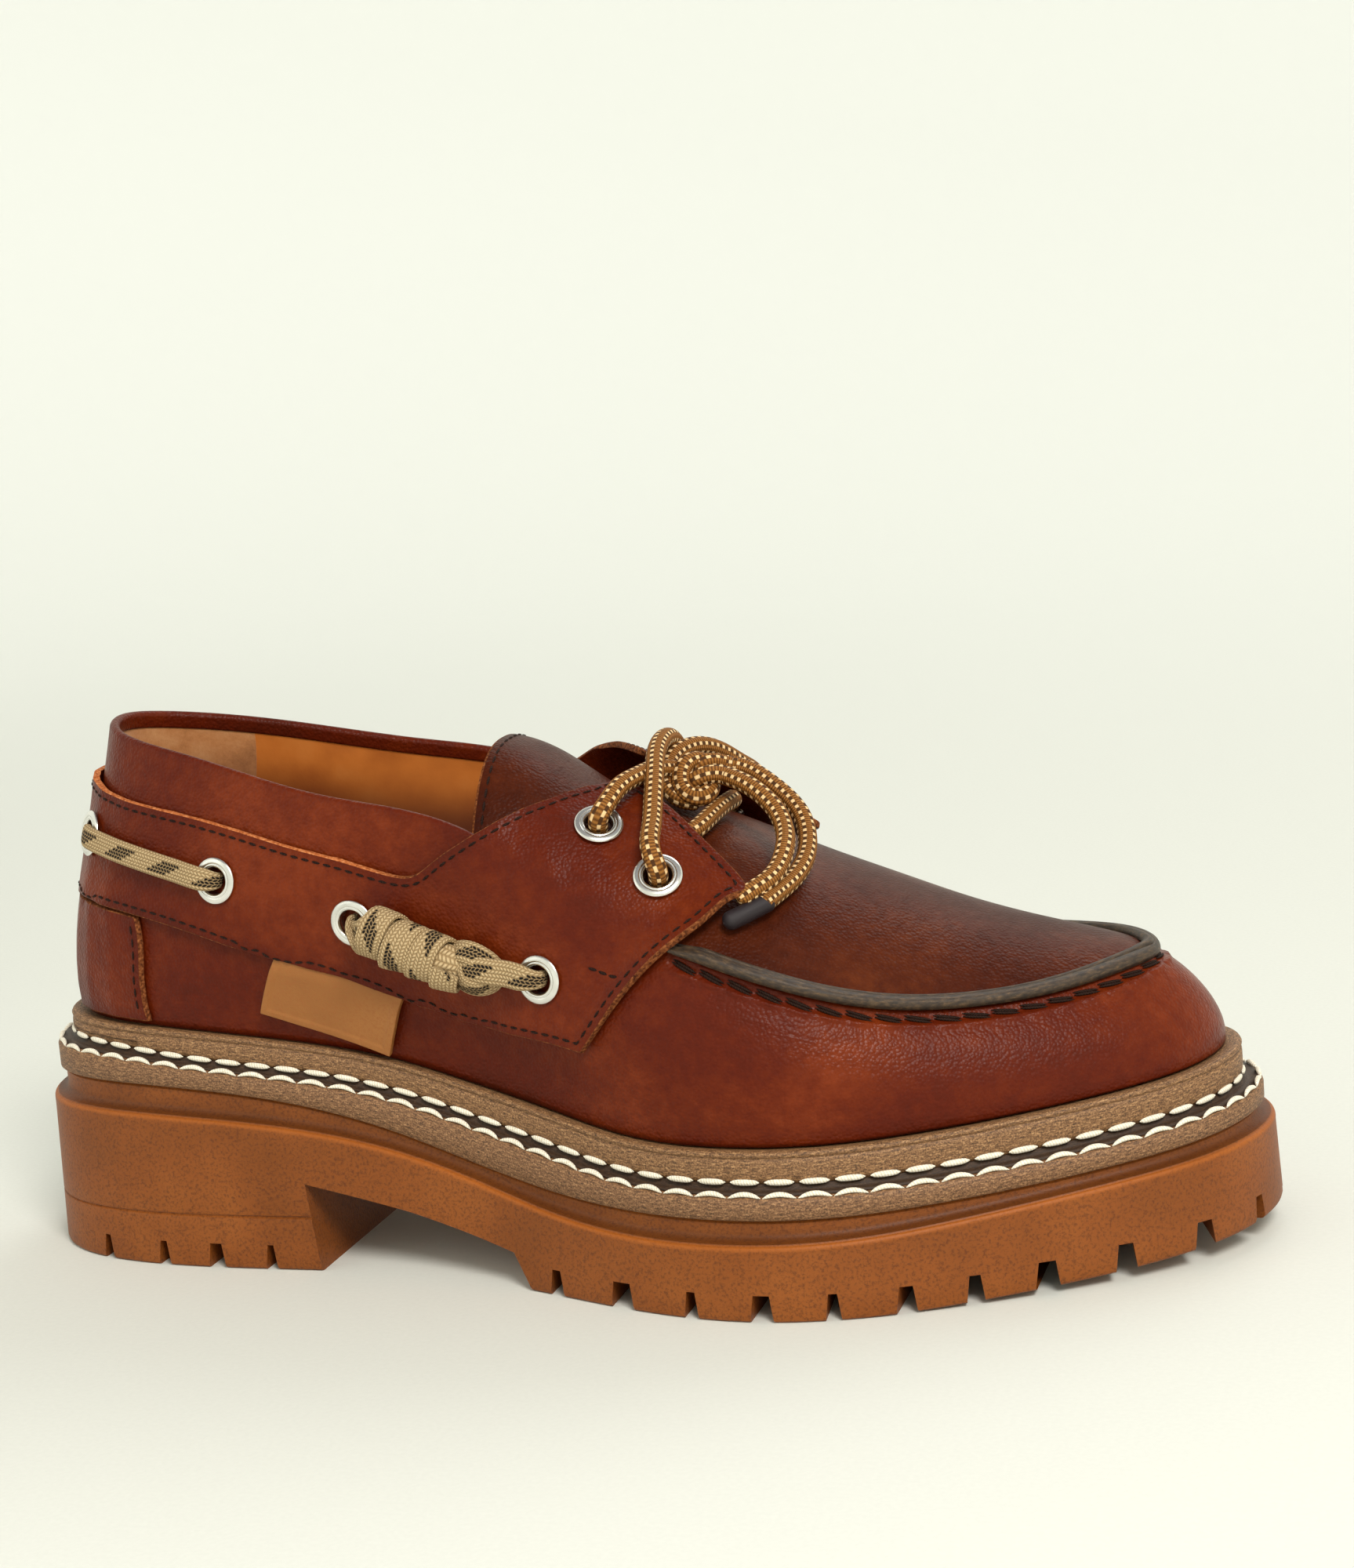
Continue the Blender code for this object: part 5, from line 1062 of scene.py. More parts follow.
# %% Rows of stitches
def stitch_row(name, path, out, pitch, length, half_width, half_height, finish, slot,
               start=0.0, arch=None, power=2.2, rings=9, sides=8, closed=False):
    """Spindles along a path: the half width is one minus a power of the way to each end.

    path and out are points and outward directions at even steps; arch(x) lifts along the
    direction "across" for a crescent, with x from -1 to 1 along the stitch."""
    path, out = np.asarray(path, float), unit(np.asarray(out, float))
    run = run_along(path)
    count = max(1, (round if closed else int)((run[-1] - start) / pitch))
    pitch = (run[-1] / count) if closed else pitch
    middle = start + pitch * (np.arange(count) + (0 if closed else 0.5))
    x = np.linspace(-1, 1, rings)
    at = middle[:, None] + x * length / 2
    at = np.mod(at, run[-1]) if closed else np.clip(at, 0, run[-1])

    def carried(field, s):
        return np.stack([np.interp(s, run, field[:, c]) for c in range(3)], -1)
    along = unit(np.gradient(path, axis=0))
    centre, up, ahead = carried(path, at), unit(carried(out, at)), unit(carried(along, at))
    across = np.cross(ahead, up)
    if arch is not None:
        centre = centre + across * arch(x)[None, :, None]
    fat = np.maximum(1 - np.abs(x)**power, 0.02)**0.5
    turn = turns(sides)
    ring = (across[:, :, None] * (half_width * fat)[None, :, None, None] * np.cos(turn)[:, None]
            + up[:, :, None] * (half_height * fat)[None, :, None, None] * np.sin(turn)[:, None])
    points = centre[:, :, None] + ring
    faces, corners = cells(rings, sides, wrap_columns=True)
    number = rings * np.arange(len(middle))[:, None, None]
    quads = (faces[None] + number * sides).reshape(-1, 4)
    charts = (corners[None] + number * (sides + 1)).reshape(-1, 4)
    ends = [(k * rings + level, way) for k in range(len(middle))
            for level, way in ((0, -1), (rings - 1, 1))]
    caps, cap_corners = ([(level * step + np.arange(sides))[::way] for level, way in ends]
                         for step in (sides, sides + 1))
    chart = np.stack(np.broadcast_arrays(np.linspace(0, 1, sides + 1), at[:, :, None]), -1)
    return piece(name, points, quads, finish, slot, caps=caps, chart=(charts, cap_corners, chart))


def edge_line(out, drop_of):
    """A line round the sole at a distance out, at a height from the edge's x."""
    t = np.linspace(0, AROUND, 1601)
    x = OUTLINE(t)[:, 0]
    xy = outline(t, out(x) if callable(out) else out)
    return np.column_stack([xy, drop_of(xy[:, 0])]), np.column_stack([outward(t), 0 * t])


WELT_PITCH = 7.25
UPPER_ROW = natural(*zip((-2, 4.5), (20, 4.5), (45, 5.7), (80, 5.9), (110, 6.2), (180, 6.3),
                         (250, 6.8), (283, 6.9)))     # how far below the welt's top
LOWER_ROW = natural(*zip((-2, 6.8), (24, 6.6), (48, 7.4), (80, 7.5), (110, 7.9), (180, 8.2),
                         (250, 8.8), (283, 8.5)))
line, out = edge_line(from_edge(0.0), lambda x: TOP_OF_WELT(x) - UPPER_ROW(x))
stitch_row("welt_stitches", line, out, WELT_PITCH, 6.2, 0.68, 0.5, cream_thread,
           "stacked_board", closed=True, power=2.6)
line, out = edge_line(-MIDSOLE_INSET - 0.75, lambda x: TOP_OF_WELT(x) - LOWER_ROW(x) - 0.1)
out[:, 2] = 0.6
stitch_row("midsole_stitches", line, out, WELT_PITCH, 6.9, 0.55, 0.55, cream_thread,
           "stacked_board", start=WELT_PITCH / 2, closed=True, power=2.2,
           arch=lambda x: 0.85 * (x * x - 0.5))

# %% The channel the stitches lie over, dark as painted shade in the groove
plate("stitch_channel", [
    *((from_edge(out), over_ledge(up)) for out, up in (
        (-1.4, GROOVE + 0.3), (-0.6, GROOVE + 0.2), (-0.5, 0.6), (0.6, 0.25))),
    *((-MIDSOLE_INSET - inset, over_ledge(up)) for inset, up in ((1.3, 0.12), (1.6, -0.1)))],
      channel_shade_board, "stacked_board")


# %% [markdown]
# ## The upper
# Panels of leather: each is a sheet of points with a thickness and a rim. The rim is a cut
# edge, so it is nearly square with softened corners, and its raw fibres show. Every point
# of the face knows how far it is from the edge, in millimetres; below zero is the rim.

# %% A panel with a cut edge
def grid_normals(grid, hint):
    """Unit normals: the cross product of the two steps, turned to the hinted side."""
    n = unit(np.cross(np.gradient(grid, axis=0), np.gradient(grid, axis=1)))
    return n if np.sum(n * hint) > 0 else -n


def away_from_middle(grid):
    """Across the shoe, away from a line inside it that runs from heel to toe."""
    hint = grid - np.array([0, 3.0, 60.0])
    hint[..., 0] = 0
    return hint


def sheet_tree(face):
    return BVHTree.FromPolygons(face.reshape(-1, 3).tolist(), cells(*face.shape[:2])[0].tolist())


def nearest_of(points, border, parts=24):
    """Distance from each point to the nearest point of a border, in parts to save memory."""
    return np.concatenate([np.min(np.linalg.norm(part[:, None] - border, axis=-1), 1)
                           for part in np.array_split(points, parts)])


def rim_order(rows, columns):
    """Row and column numbers once round a grid's border."""
    i = np.concatenate([np.arange(rows), np.full(columns - 1, rows - 1),
                        np.arange(rows - 2, -1, -1), np.zeros(columns - 2, int)])
    j = np.concatenate([np.zeros(rows, int), np.arange(1, columns),
                        np.full(rows - 1, columns - 1), np.arange(columns - 2, 0, -1)])
    return i, j


def border_of(face, normals):
    """Once round a sheet's edge: grid numbers, points, and directions outwards along it."""
    rows, columns = face.shape[:2]
    i, j = rim_order(rows, columns)
    border = face[i, j]
    tangent = unit(np.roll(border, -1, 0) - np.roll(border, 1, 0))
    out = unit(np.cross(tangent, normals[i, j]))
    inner = face[np.clip(i, 1, rows - 2), np.clip(j, 1, columns - 2)]
    return i, j, border, out * np.sign(np.sum(out * (border - inner), -1).sum() or 1)


def panel(name, face, normals, thickness, finish, slot, *nodes, bulge=0.25, bevel=0.0, rim=6,
          extra=None):
    """A sheet (face = its outer points) with its back a thickness behind, and a cut rim.

    The rim is a squared half ring: the two edges' middle, plus half their distance times a
    power of the cosine, plus a bulge times the sine along the outward direction. A bevel
    lets the back stand out past the face, so that the cut is seen from the front."""
    rows, columns = face.shape[:2]
    i, j, border, out = border_of(face, normals)
    back = face - thickness * normals
    back[i, j] += bevel * out
    border_back = back[i, j]
    flat = face.reshape(-1, 3)
    distance = nearest_of(flat, border)
    turn = np.linspace(0, math.pi, rim + 2)[1:-1, None, None]
    cosine, sine = np.cos(turn), np.sin(turn)
    square = np.sign(cosine) * np.abs(cosine)**0.6
    middle, half = (border + border_back) / 2, (border - border_back) / 2
    ring = middle[None] + half[None] * square + out[None] * bulge * thickness * sine**0.7
    count = len(border)
    points = np.vstack([flat, back.reshape(-1, 3), ring.reshape(-1, 3)])
    front, _ = cells(rows, columns)
    n = rows * columns
    edge = i * columns + j
    loops = np.vstack([edge, 2 * n + np.arange(rim * count).reshape(rim, count), n + edge])
    a, b = loops[:-1], loops[1:]
    strip = np.stack([a, b, np.roll(b, -1, 1), np.roll(a, -1, 1)], -1).reshape(-1, 4)
    first = flat[front[0]]
    if np.cross(first[1] - first[0], first[3] - first[0]).dot(normals[0, 0]) < 0:
        front = front[:, ::-1]
    same_way = (front == loops[0][0]) & (np.roll(front, -1, 1) == loops[0][1])
    strip = strip if same_way.any() else strip[:, ::-1]
    faces = np.vstack([front, (front + n)[:, ::-1], strip])
    chart = np.stack(np.broadcast_arrays(run_along(face.mean(1))[:, None],
                                         run_along(face.mean(0))), -1).reshape(-1, 2)
    ring_chart = np.broadcast_to(chart[edge], (rim, count, 2)).reshape(-1, 2)
    values = {"edge_mm": np.concatenate([distance, distance + 2, np.full(rim * count, -0.5)])}
    for title, numbers in (extra or {}).items():
        values[title] = np.concatenate([numbers.ravel(), numbers.ravel(),
                                        np.broadcast_to(numbers[i, j], (rim, count)).ravel()])
    return piece(name, points, faces, finish, slot, *nodes,
                 chart=(faces, (), np.vstack([chart, chart, ring_chart])),
                 values=values, sharp=60)


def hem(face, normals, inset, keep=None):
    """A line inside a sheet's edge: the edge moved in, wherever no other edge is nearer.

    Returns points on the face, normals there, and whether the line is closed."""
    i, j, border, out = border_of(face, normals)
    moved = border - inset * out
    ok = nearest_of(moved, border) > 0.97 * inset
    if keep is not None:
        ok &= keep(i, j)
        moved, ok = (np.roll(a, -int(np.argmax(ok & ~np.roll(ok, 1))), 0) for a in (moved, ok))
    line = moved[ok]
    line = even_run(line if keep is not None else np.vstack([line, line[:1]]), step=0.5)[0]
    tree = sheet_tree(face)
    found = [tree.find_nearest(Vector(p)) for p in line]
    normal = np.array([f[1] for f in found])
    nearest_normal = normals.reshape(-1, 3)[[np.argmin(np.sum((face.reshape(-1, 3) - p)**2, 1))
                                             for p in line]]
    normal *= np.sign(np.sum(normal * nearest_normal, -1, keepdims=True))
    return np.array([f[0] for f in found]), normal, keep is None


def hem_stitches(name, face, normals, inset, keep=None, pitch=2.8):
    """A row of short dark stitches along the hem line of a sheet."""
    line, normal, closed = hem(face, normals, inset, keep)
    stitch_row(name, line + 0.03 * normal, normal, pitch, pitch - 0.75, 0.3, 0.26,
               brown_thread, "dark_leather", closed=closed, rings=7, sides=6)


# %% [markdown]
# The wall of the upper is one strip that goes all the way round. Its top is folded over: a
# roll, then a facing 4 mm high inside. Under the facing starts the lining, suede at the
# heel and smooth calf in front.

# %% The folded wall
FOLD, FACING, LINING_AT, WALL_INNER = 1.15, 4.0, 1.9, 1.3
SEAM_REACH, SEAM_PITCH, SEAM_DROP = 4.5, 6.3, 2.7


def side_frame(t, v):
    """A point of the side, its outward normal, and the speed of v in mm at the top edge."""
    point, small = side(t, v), 1e-4
    around = side(t + 0.05, v) - side(t - 0.05, v)
    up = side(t, np.minimum(v + small, 1.0)) - side(t, np.minimum(v + small, 1.0) - 2 * small)
    normal = unit(np.cross(around, up))
    sign = np.sign(np.sum(normal[..., :2] * outward(t), -1, keepdims=True))
    return point, normal * np.where(sign == 0, 1, sign), np.linalg.norm(up, axis=-1) / (2 * small)


seam_s = np.linspace(0, SEAM_REACH, 260)
seam_t = np.concatenate([little_side(seam_s)[::-1], big_side(seam_s)[1:]])
wall_t = np.concatenate([np.arange(seam_t[0] - 4, seam_t[-1] + 4, 0.75),
                         np.arange(seam_t[-1] + 4, seam_t[0] - 4.5 + AROUND, 1.5)])[:, None]
WALL_COLUMNS = len(wall_t)
_, _, speed = side_frame(wall_t, 1.0)


def below_top(d):
    return 1 - np.asarray(d, float)[None, :] / speed


def seam_line(d):
    """A line on the wall, d millimetres under the seam: points, normals, length run."""
    _, _, pace = side_frame(seam_t, np.ones_like(seam_t))
    point, normal, _ = side_frame(seam_t, 1 - d / pace)
    return point, normal, run_along(point)


def pucker(t, d):
    """What the seam's thread does to the wall: a groove below it, then a scalloped lip."""
    run = np.interp(t, seam_t, seam_line(SEAM_DROP)[2])
    there = (smoothstep(t, seam_t[0] - 2, seam_t[0] + 2)
             * (1 - smoothstep(t, seam_t[-1] - 2, seam_t[-1] + 2)))
    swell = np.abs(np.sin(math.pi * run / SEAM_PITCH))**0.7
    return there * (-0.5 * np.exp(-((d - SEAM_DROP) / 0.9)**2)
                    + 0.55 * swell * np.exp(-((d - SEAM_DROP - 1.35 - 0.45 * swell) / 0.6)**2))


deep = 1 - 8.0 / speed
outer_v = np.concatenate([deep * np.linspace(0, 1, 32)[None, :],
                          below_top(np.linspace(7.6, FOLD, 22))], 1)
outer, normal, _ = side_frame(wall_t, outer_v)
outer = outer + normal * pucker(wall_t, (1 - outer_v) * speed)[..., None]
wrinkled = (smoothstep(wall_t, seam_t[0] - 8, seam_t[0] + 8)
            * (1 - smoothstep(wall_t, seam_t[0] + 22, seam_t[0] + 55))
            * np.exp(-(((1 - outer_v) * speed - 9.0) / 7.5)**2))
fold_at, fold_normal, _ = side_frame(wall_t, below_top([FOLD]))
fold_up = unit(side(wall_t, below_top([FOLD]) + 1e-3) - fold_at)
turn = np.linspace(0.25, math.pi - 0.25, 9)[None, :, None]
roll = (fold_at - FOLD * fold_normal) + FOLD * (np.cos(turn) * fold_normal + np.sin(turn) * fold_up)
facing, facing_normal, _ = side_frame(wall_t, below_top([FOLD, 1.8, 2.6, 3.4, 3.8, FACING]))
facing = facing - np.array([1, 1, 1, 1, 0.97, 0.86])[:, None] * 2 * FOLD * facing_normal
inner_v = np.concatenate([below_top([FACING + 0.05]),
                          np.linspace(0.85, 0.0, 18)[None, :].repeat(WALL_COLUMNS, 0)], 1)
inner, inner_normal, _ = side_frame(wall_t, inner_v)
inner = inner - WALL_INNER * inner_normal
wall = np.concatenate([outer, roll, facing, inner], 1)
faces, corners = cells(WALL_COLUMNS, wall.shape[1], wrap_rows=True, wrap_columns=True)
chart = np.stack(np.broadcast_arrays(np.append(wall_t, wall_t[0] + AROUND)[:, None],
                                     run_along(np.vstack([wall[0], wall[0, :1]]))), -1)
from_top = np.minimum(3.0, np.concatenate([
    (1 - outer_v) * speed, np.full((WALL_COLUMNS, 9), 0.6), np.full((WALL_COLUMNS, 6), 0.5),
    np.full((WALL_COLUMNS, inner.shape[1]), 3.0)], 1) + 1.2)
from_welt = outer_v * 0 + np.linalg.norm(outer - outer[:, :1], axis=-1)
beyond = wall.shape[1] - outer.shape[1]
low = np.concatenate([from_welt, np.full((WALL_COLUMNS, beyond), 9.0)], 1)
piece("upper_wall", wall, faces, red_brown_leather, "brown_leather", "upper",
      chart=(corners, (), chart),
      values={"edge_mm": np.minimum(from_top, 0.4 + 0.5 * low),
              "wrinkle": np.concatenate([wrinkled, np.zeros((WALL_COLUMNS, beyond))], 1)})

# %% Linings
SEAM_RIBS = (1.86, 18.15)      # where suede meets calf on each side


def lining(name, rib_from, rib_to, finish, columns):
    """The side's own surface, so far inside it, from under the facing to the insole."""
    ribs = np.linspace(rib_from, rib_to, columns)
    t = (place(ribs) + AROUND * np.floor(ribs / len(LAST)))[:, None]
    _, _, pace = side_frame(t, 1.0)
    d = np.concatenate([[FACING - 0.1, FACING + 0.3, FACING + 1.0], np.linspace(6, 16, 8)])
    v = np.concatenate([1 - d[None, :] / pace,
                        np.linspace(0.80, 0.05, 22)[None, :].repeat(columns, 0)], 1)
    v = np.clip(-np.sort(-v, axis=1), 0.03, 1)
    point, normal, _ = side_frame(t, v)
    wave = 0.18 * np.sin(t / 9.0) * np.sin(9 * v) + 0.12 * np.sin(t / 4.3 + 5 * v)
    inset = LINING_AT + 0.35 * wave * (v < 0.93)
    # The attribute depth paints shade: darker from 7 to 24 mm below the top, deep inside the shoe.
    return panel(name, point - inset[..., None] * normal, -normal, 0.55, finish, "lining",
                 bulge=0.1, rim=2, extra={"depth": 0.9 * smoothstep((1 - v) * pace, 7.0, 24.0)})


lining("lining_heel", SEAM_RIBS[1] - 2 * TIP, SEAM_RIBS[0], lining_suede, 120)
lining("lining_front", SEAM_RIBS[0], SEAM_RIBS[1], lining_leather, 360)

# %% The insole
inset = loop(column("inset"))(SOLE_PLACES)[:, 0] + LEATHER + 0.6
plate("insole", [(-inset - further, under_top(-GAP - up)) for further, up in (
    (2.5, 3.0), (0.8, 2.9), (0.2, 2.4), (0.0, 1.5), (0.3, 0.0))],
      lining_leather, "lining", "insole")

# %% [markdown]
# The apron is a second panel, laid over the foot between the two edges and joined to the
# wall by the raised seam. The tongue is a separate arch a little below it.

# %% Apron and tongue
def surface_normals(shape, a, b, small=1e-3):
    """Cross product of the two slopes of a shape of two parameters."""
    return unit(np.cross(shape(a + small, b) - shape(a - small, b),
                         shape(a, b + small) - shape(a, b - small)))


s = np.linspace(0.03, THROAT, 150)[:, None]
w = np.sin(np.linspace(-1, 1, 81) * math.pi / 2)[None, :]
face = across(s, w)
normal = surface_normals(across, s, np.clip(w, -0.995, 0.995))
normal = normal * np.sign(normal[..., 2:])
panel("apron", face, normal, LEATHER, dark_leather, "brown_leather", bulge=0.1, rim=3)

TONGUE_FROM, TONGUE_WIDTH, TONGUE_SIDE_DROP = 4.25, 0.88, 9.0


def tongue_at(s, w):
    """A chord between the edges at s, raised by one minus a power of w over a side drop."""
    s, w = np.broadcast_arrays(np.asarray(s, float), np.asarray(w, float))
    near, far = EDGE(little_side(s)), EDGE(big_side(s))
    middle, half = (near + far) / 2, (far - near) / 2
    under = (LEATHER + OVERLAY_GAP + 0.6) * np.clip((INSTEP - s) / 0.8, 0, 1)
    rise = crest(middle[..., 0]) - under
    p = middle + half * (TONGUE_WIDTH * w)[..., None]
    p[..., 2] = rise - (rise - middle[..., 2] + TONGUE_SIDE_DROP) * np.abs(w)**2.6
    return p


s = np.linspace(TONGUE_FROM, INSTEP - 1e-3, 90)[:, None]
w = np.linspace(-0.999, 0.999, 101)[None, :]
face = tongue_at(s, w)
normal = surface_normals(tongue_at, s, w)
normal = normal * np.sign(normal[..., 2:])
panel("tongue", face, normal, TONGUE, dark_leather, "dark_leather", "tongue", bulge=0.35)
hem_stitches("tongue_stitches", face, normal, 1.5, lambda i, j: i > 30, 3.3)

# %% The raised seam
SEAM_GAP = 0.7
both_s = np.concatenate([seam_s[::-1], seam_s[1:]])
edge_side = np.where(np.arange(len(seam_t)) < len(seam_s), 1.0, -1.0)
line, wall_normal, _ = side_frame(seam_t, np.ones_like(seam_t))
apron_normal = surface_normals(across, np.clip(both_s, 0.05, 9), 0.97 * edge_side)
apron_normal *= np.sign(apron_normal[:, 2:])
_, beside, up = frames_along(line, unit(wall_normal + apron_normal))
section = np.array([(-2.1, -0.5), (2.0, -0.4), (2.1, 0.6), (2.0, 1.2), (1.65, 1.62), (0.95, 1.8),
                    (0.0, 1.78), (-0.22, 1.7), (-0.36, 1.3), (-0.5, 1.3), (-0.62, 1.66),
                    (-1.15, 1.72), (-1.75, 1.5), (-2.05, 1.1), (-2.15, 0.6)])
low_end = 1 - 0.6 * smoothstep(np.abs(both_s), 4.3, SEAM_REACH)[:, None, None]
rings = (line[:, None] + beside[:, None] * section[None, :, :1]
         + up[:, None] * (section[None, :, 1:] + SEAM_GAP) * low_end)
chart = np.stack(np.broadcast_arrays(np.linspace(0, 1, len(section) + 1),
                                     run_along(line)[:, None]), -1)
tube_piece("apron_seam", rings, chart, raw_edge, "dark_leather", "apron_seam")

# %% Its two rows of stitches
steps = np.linspace(0.80, 0.995, 60)
near = across(both_s[:, None], edge_side[:, None] * steps)
gap = np.linalg.norm(near - line[:, None], axis=-1)
at_w = np.array([np.interp(-3.0, -row, steps) for row in gap])
upper_line = across(both_s, edge_side * at_w)
stitch_row("seam_stitches_upper", upper_line + 0.1 * apron_normal, apron_normal, SEAM_PITCH, 3.9,
           0.42, 0.3, brown_thread, "dark_leather")
lower_line, lower_normal, _ = seam_line(SEAM_DROP)
for name, shift in (("seam_stitches_lower", -0.3), ("seam_stitches_twin", 0.34)):
    stitch_row(name, lower_line - 0.15 * lower_normal, lower_normal, SEAM_PITCH, 5.9, 0.36, 0.34,
               brown_thread, "dark_leather", arch=lambda x, shift=shift: 0.5 * x + shift)


# %% [markdown]
# ## The side band and its flaps
# One strap runs round the heel, low on each side, and widens in front into a flap that
# carries the top eyelets. It is a map of places "rib, q" pushed off the last: straight
# columns along the side, then a patch blended from its four edges for the flap. The patch
# is the sum of the two ruled surfaces less the bilinear one.

# %% Where the band lies
BAND_LOW = ((0, 0.465), (1.1, 0.48), (1.8, 0.464), (2.3, 0.43), (2.8, 0.38), (3.2, 0.352),
            (3.6, 0.306))
BAND_TOP = ((0, 0.85), (0.6, 0.853), (1.6, 0.83), (2.6, 0.82), (3.1, 0.808), (3.6, 0.785))
FLAP_LOW = ((3.6, 0.306), (3.93, 0.299), (4.33, 0.33), (4.86, 0.382))
FLAP_TOP = ((3.6, 0.785), (3.75, 0.824), (3.95, 0.93), (4.14, 1.012), (4.38, 1.165),
            (4.66, 1.43), (4.83, 1.61), (4.95, 1.7))
FLAP_FRONT = ((4.86, 0.382), (5.22, 0.7), (5.48, 0.945), (5.68, 1.11), (5.8, 1.24),
              (5.85, 1.33), (5.54, 1.49), (5.25, 1.63), (4.95, 1.7))
ROWS, BAND_COLUMNS, FLAP_COLUMNS = len(FLAP_FRONT) - 1, 10, 9
FLAP_LIFT = {-1: (4.2, 4.2), 1: (4.2, 3.8)}
FLAP_BACK, FLAP_TIP = 4.95, 5.85
FLAP_SET_BACK = {-1: 0.0, 1: 0.06}
LOOSE_FROM, LOOSE_TO, STIFFENING = 0.75, 1.4, 5


def flap_lift(rib, q, sign):
    """How far the flap stands off the foot: nothing on the side, most over the instep."""
    return (np.interp(rib, (FLAP_BACK, FLAP_TIP), FLAP_LIFT[sign])
            * smoothstep(q, LOOSE_FROM, LOOSE_TO))


def band_places(sign):
    """Rib and q over half of the band, from the heel to the lacing."""
    ribs = np.linspace(0, BAND_LOW[-1][0], BAND_COLUMNS + 1)
    b = np.linspace(0, 1, ROWS + 1)[None, :]
    low, high = natural(*zip(*BAND_LOW))(ribs), natural(*zip(*BAND_TOP))(ribs)
    plain = np.stack([np.broadcast_to(ribs[:, None], (len(ribs), ROWS + 1)),
                      low[:, None] * (1 - b) + high[:, None] * b], -1)
    lower, upper = (even_run(edge, count=FLAP_COLUMNS + 1)[0] for edge in (FLAP_LOW, FLAP_TOP))
    a = np.linspace(0, 1, FLAP_COLUMNS + 1)[:, None, None]
    c = np.linspace(0, 1, ROWS + 1)[None, :, None]
    left, right = plain[-1][None], np.array(FLAP_FRONT)[None]
    for edge in (lower, upper, right):
        edge[..., 0] -= FLAP_SET_BACK[sign] * smoothstep(edge[..., 0], left[0, 0, 0],
                                                         left[0, 0, 0] + 1.2)
    patch = ((1 - c) * lower[:, None] + c * upper[:, None] + (1 - a) * left + a * right
             - (1 - a) * (1 - c) * lower[0] - (1 - a) * c * upper[0]
             - a * (1 - c) * lower[-1] - a * c * upper[-1])
    return np.vstack([plain, patch[1:]])


def band_grid():
    """The band's inner sheet from one lacing edge round the heel to the other."""
    halves = []
    for sign in (-1, 1):
        where = band_places(sign)
        grid = over_last(where[..., 0], where[..., 1], sign)
        lift = OVERLAY_GAP + flap_lift(where[..., 0], where[..., 1], sign)
        grid = grid + grid_normals(grid, away_from_middle(grid)) * lift[..., None]
        stiff = np.clip((where[..., 0] - 3.9) / 0.4, 0, 1)[1:-1, 1:-1, None]
        for _ in range(STIFFENING):
            around = (grid[:-2, 1:-1] + grid[2:, 1:-1] + grid[1:-1, :-2] + grid[1:-1, 2:]) / 4
            grid[1:-1, 1:-1] += stiff * (around - grid[1:-1, 1:-1])
            grid[1:-1, -1] += 0.5 * stiff[:, -1] * ((grid[:-2, -1] + grid[2:, -1]) / 2
                                                    - grid[1:-1, -1])
        halves.append(grid)
    return np.vstack([halves[0][::-1], halves[1][1:]])


# %% Finer, and lying on the solid band
def cubic(grid, at, axis):
    """A natural cubic through the rows (or columns) of a grid, read at finer places."""
    moved = np.moveaxis(grid, axis, 0)
    flat = moved.reshape(len(moved), -1)
    return np.moveaxis(natural(np.arange(len(moved)), flat)(at).reshape(-1, *moved.shape[1:]),
                       0, axis)


def blurred(field, rounds):
    """Each value becomes the mean of itself and its neighbours, again and again."""
    for _ in range(rounds):
        padded = np.pad(field, 1, mode="edge")
        field = (padded[:-2, 1:-1] + padded[2:, 1:-1] + padded[1:-1, :-2] + padded[1:-1, 2:]
                 + 2 * field) / 6
    return field


def laid_on(grid, normals, name, rounds=14, reach=9.0):
    """Moves a grid along its normals to a CAD node's outer face, by a smoothed distance."""
    mesh = frame["nodes"][name].data
    tree = BVHTree.FromPolygons(points_of(mesh).tolist(),
                                [tuple(p.vertices) for p in mesh.polygons])
    moves = np.zeros(grid.shape[:2])
    for (i, j), _ in np.ndenumerate(moves):
        start = Vector(grid[i, j] + reach * normals[i, j])
        hit, _, _, distance = tree.ray_cast(start, Vector(-normals[i, j]), 2 * reach)
        moves[i, j] = reach - distance if hit is not None else np.nan
    known = ~np.isnan(moves)
    moves[~known] = 0
    weight = blurred(known.astype(float), rounds)
    return grid + normals * (blurred(moves, rounds) / np.maximum(weight, 1e-3))[..., None]


coarse = band_grid()
long_way = np.linspace(0, len(coarse) - 1, 560)
ends = 0.5 - 0.5 * np.cos(np.linspace(0, math.pi, 64))
grid = cubic(cubic(coarse, long_way, 0), ends * ROWS, 1)
normal = grid_normals(grid, away_from_middle(grid))
band_face = laid_on(grid + OVERLAY * normal, normal, "side_band")
band_normal = grid_normals(band_face, away_from_middle(band_face))
on_side = smoothstep(long_way, 8.5, 10) * (1 - smoothstep(long_way, 28, 29.5))
# The top rim of the band round the heel and sides: paler fibres, and a painted highlight where that
# rim faces the light.
light = on_side[:, None] * (np.arange(len(ends)) > len(ends) // 2)
band = panel("side_band", band_face, band_normal, OVERLAY, red_brown_leather, "brown_leather",
             "side_band", bulge=0.18, bevel=0.12, extra={"pale_fibre_and_highlight": light})
hem_stitches("band_stitches", band_face, band_normal, 1.5)
band_shape = sheet_tree(band_face)

# %% [markdown]
# The counter is a stiff leather cap round the heel, and the tab a piece of rubber sewn on
# in front of it. Both reach up under the band.

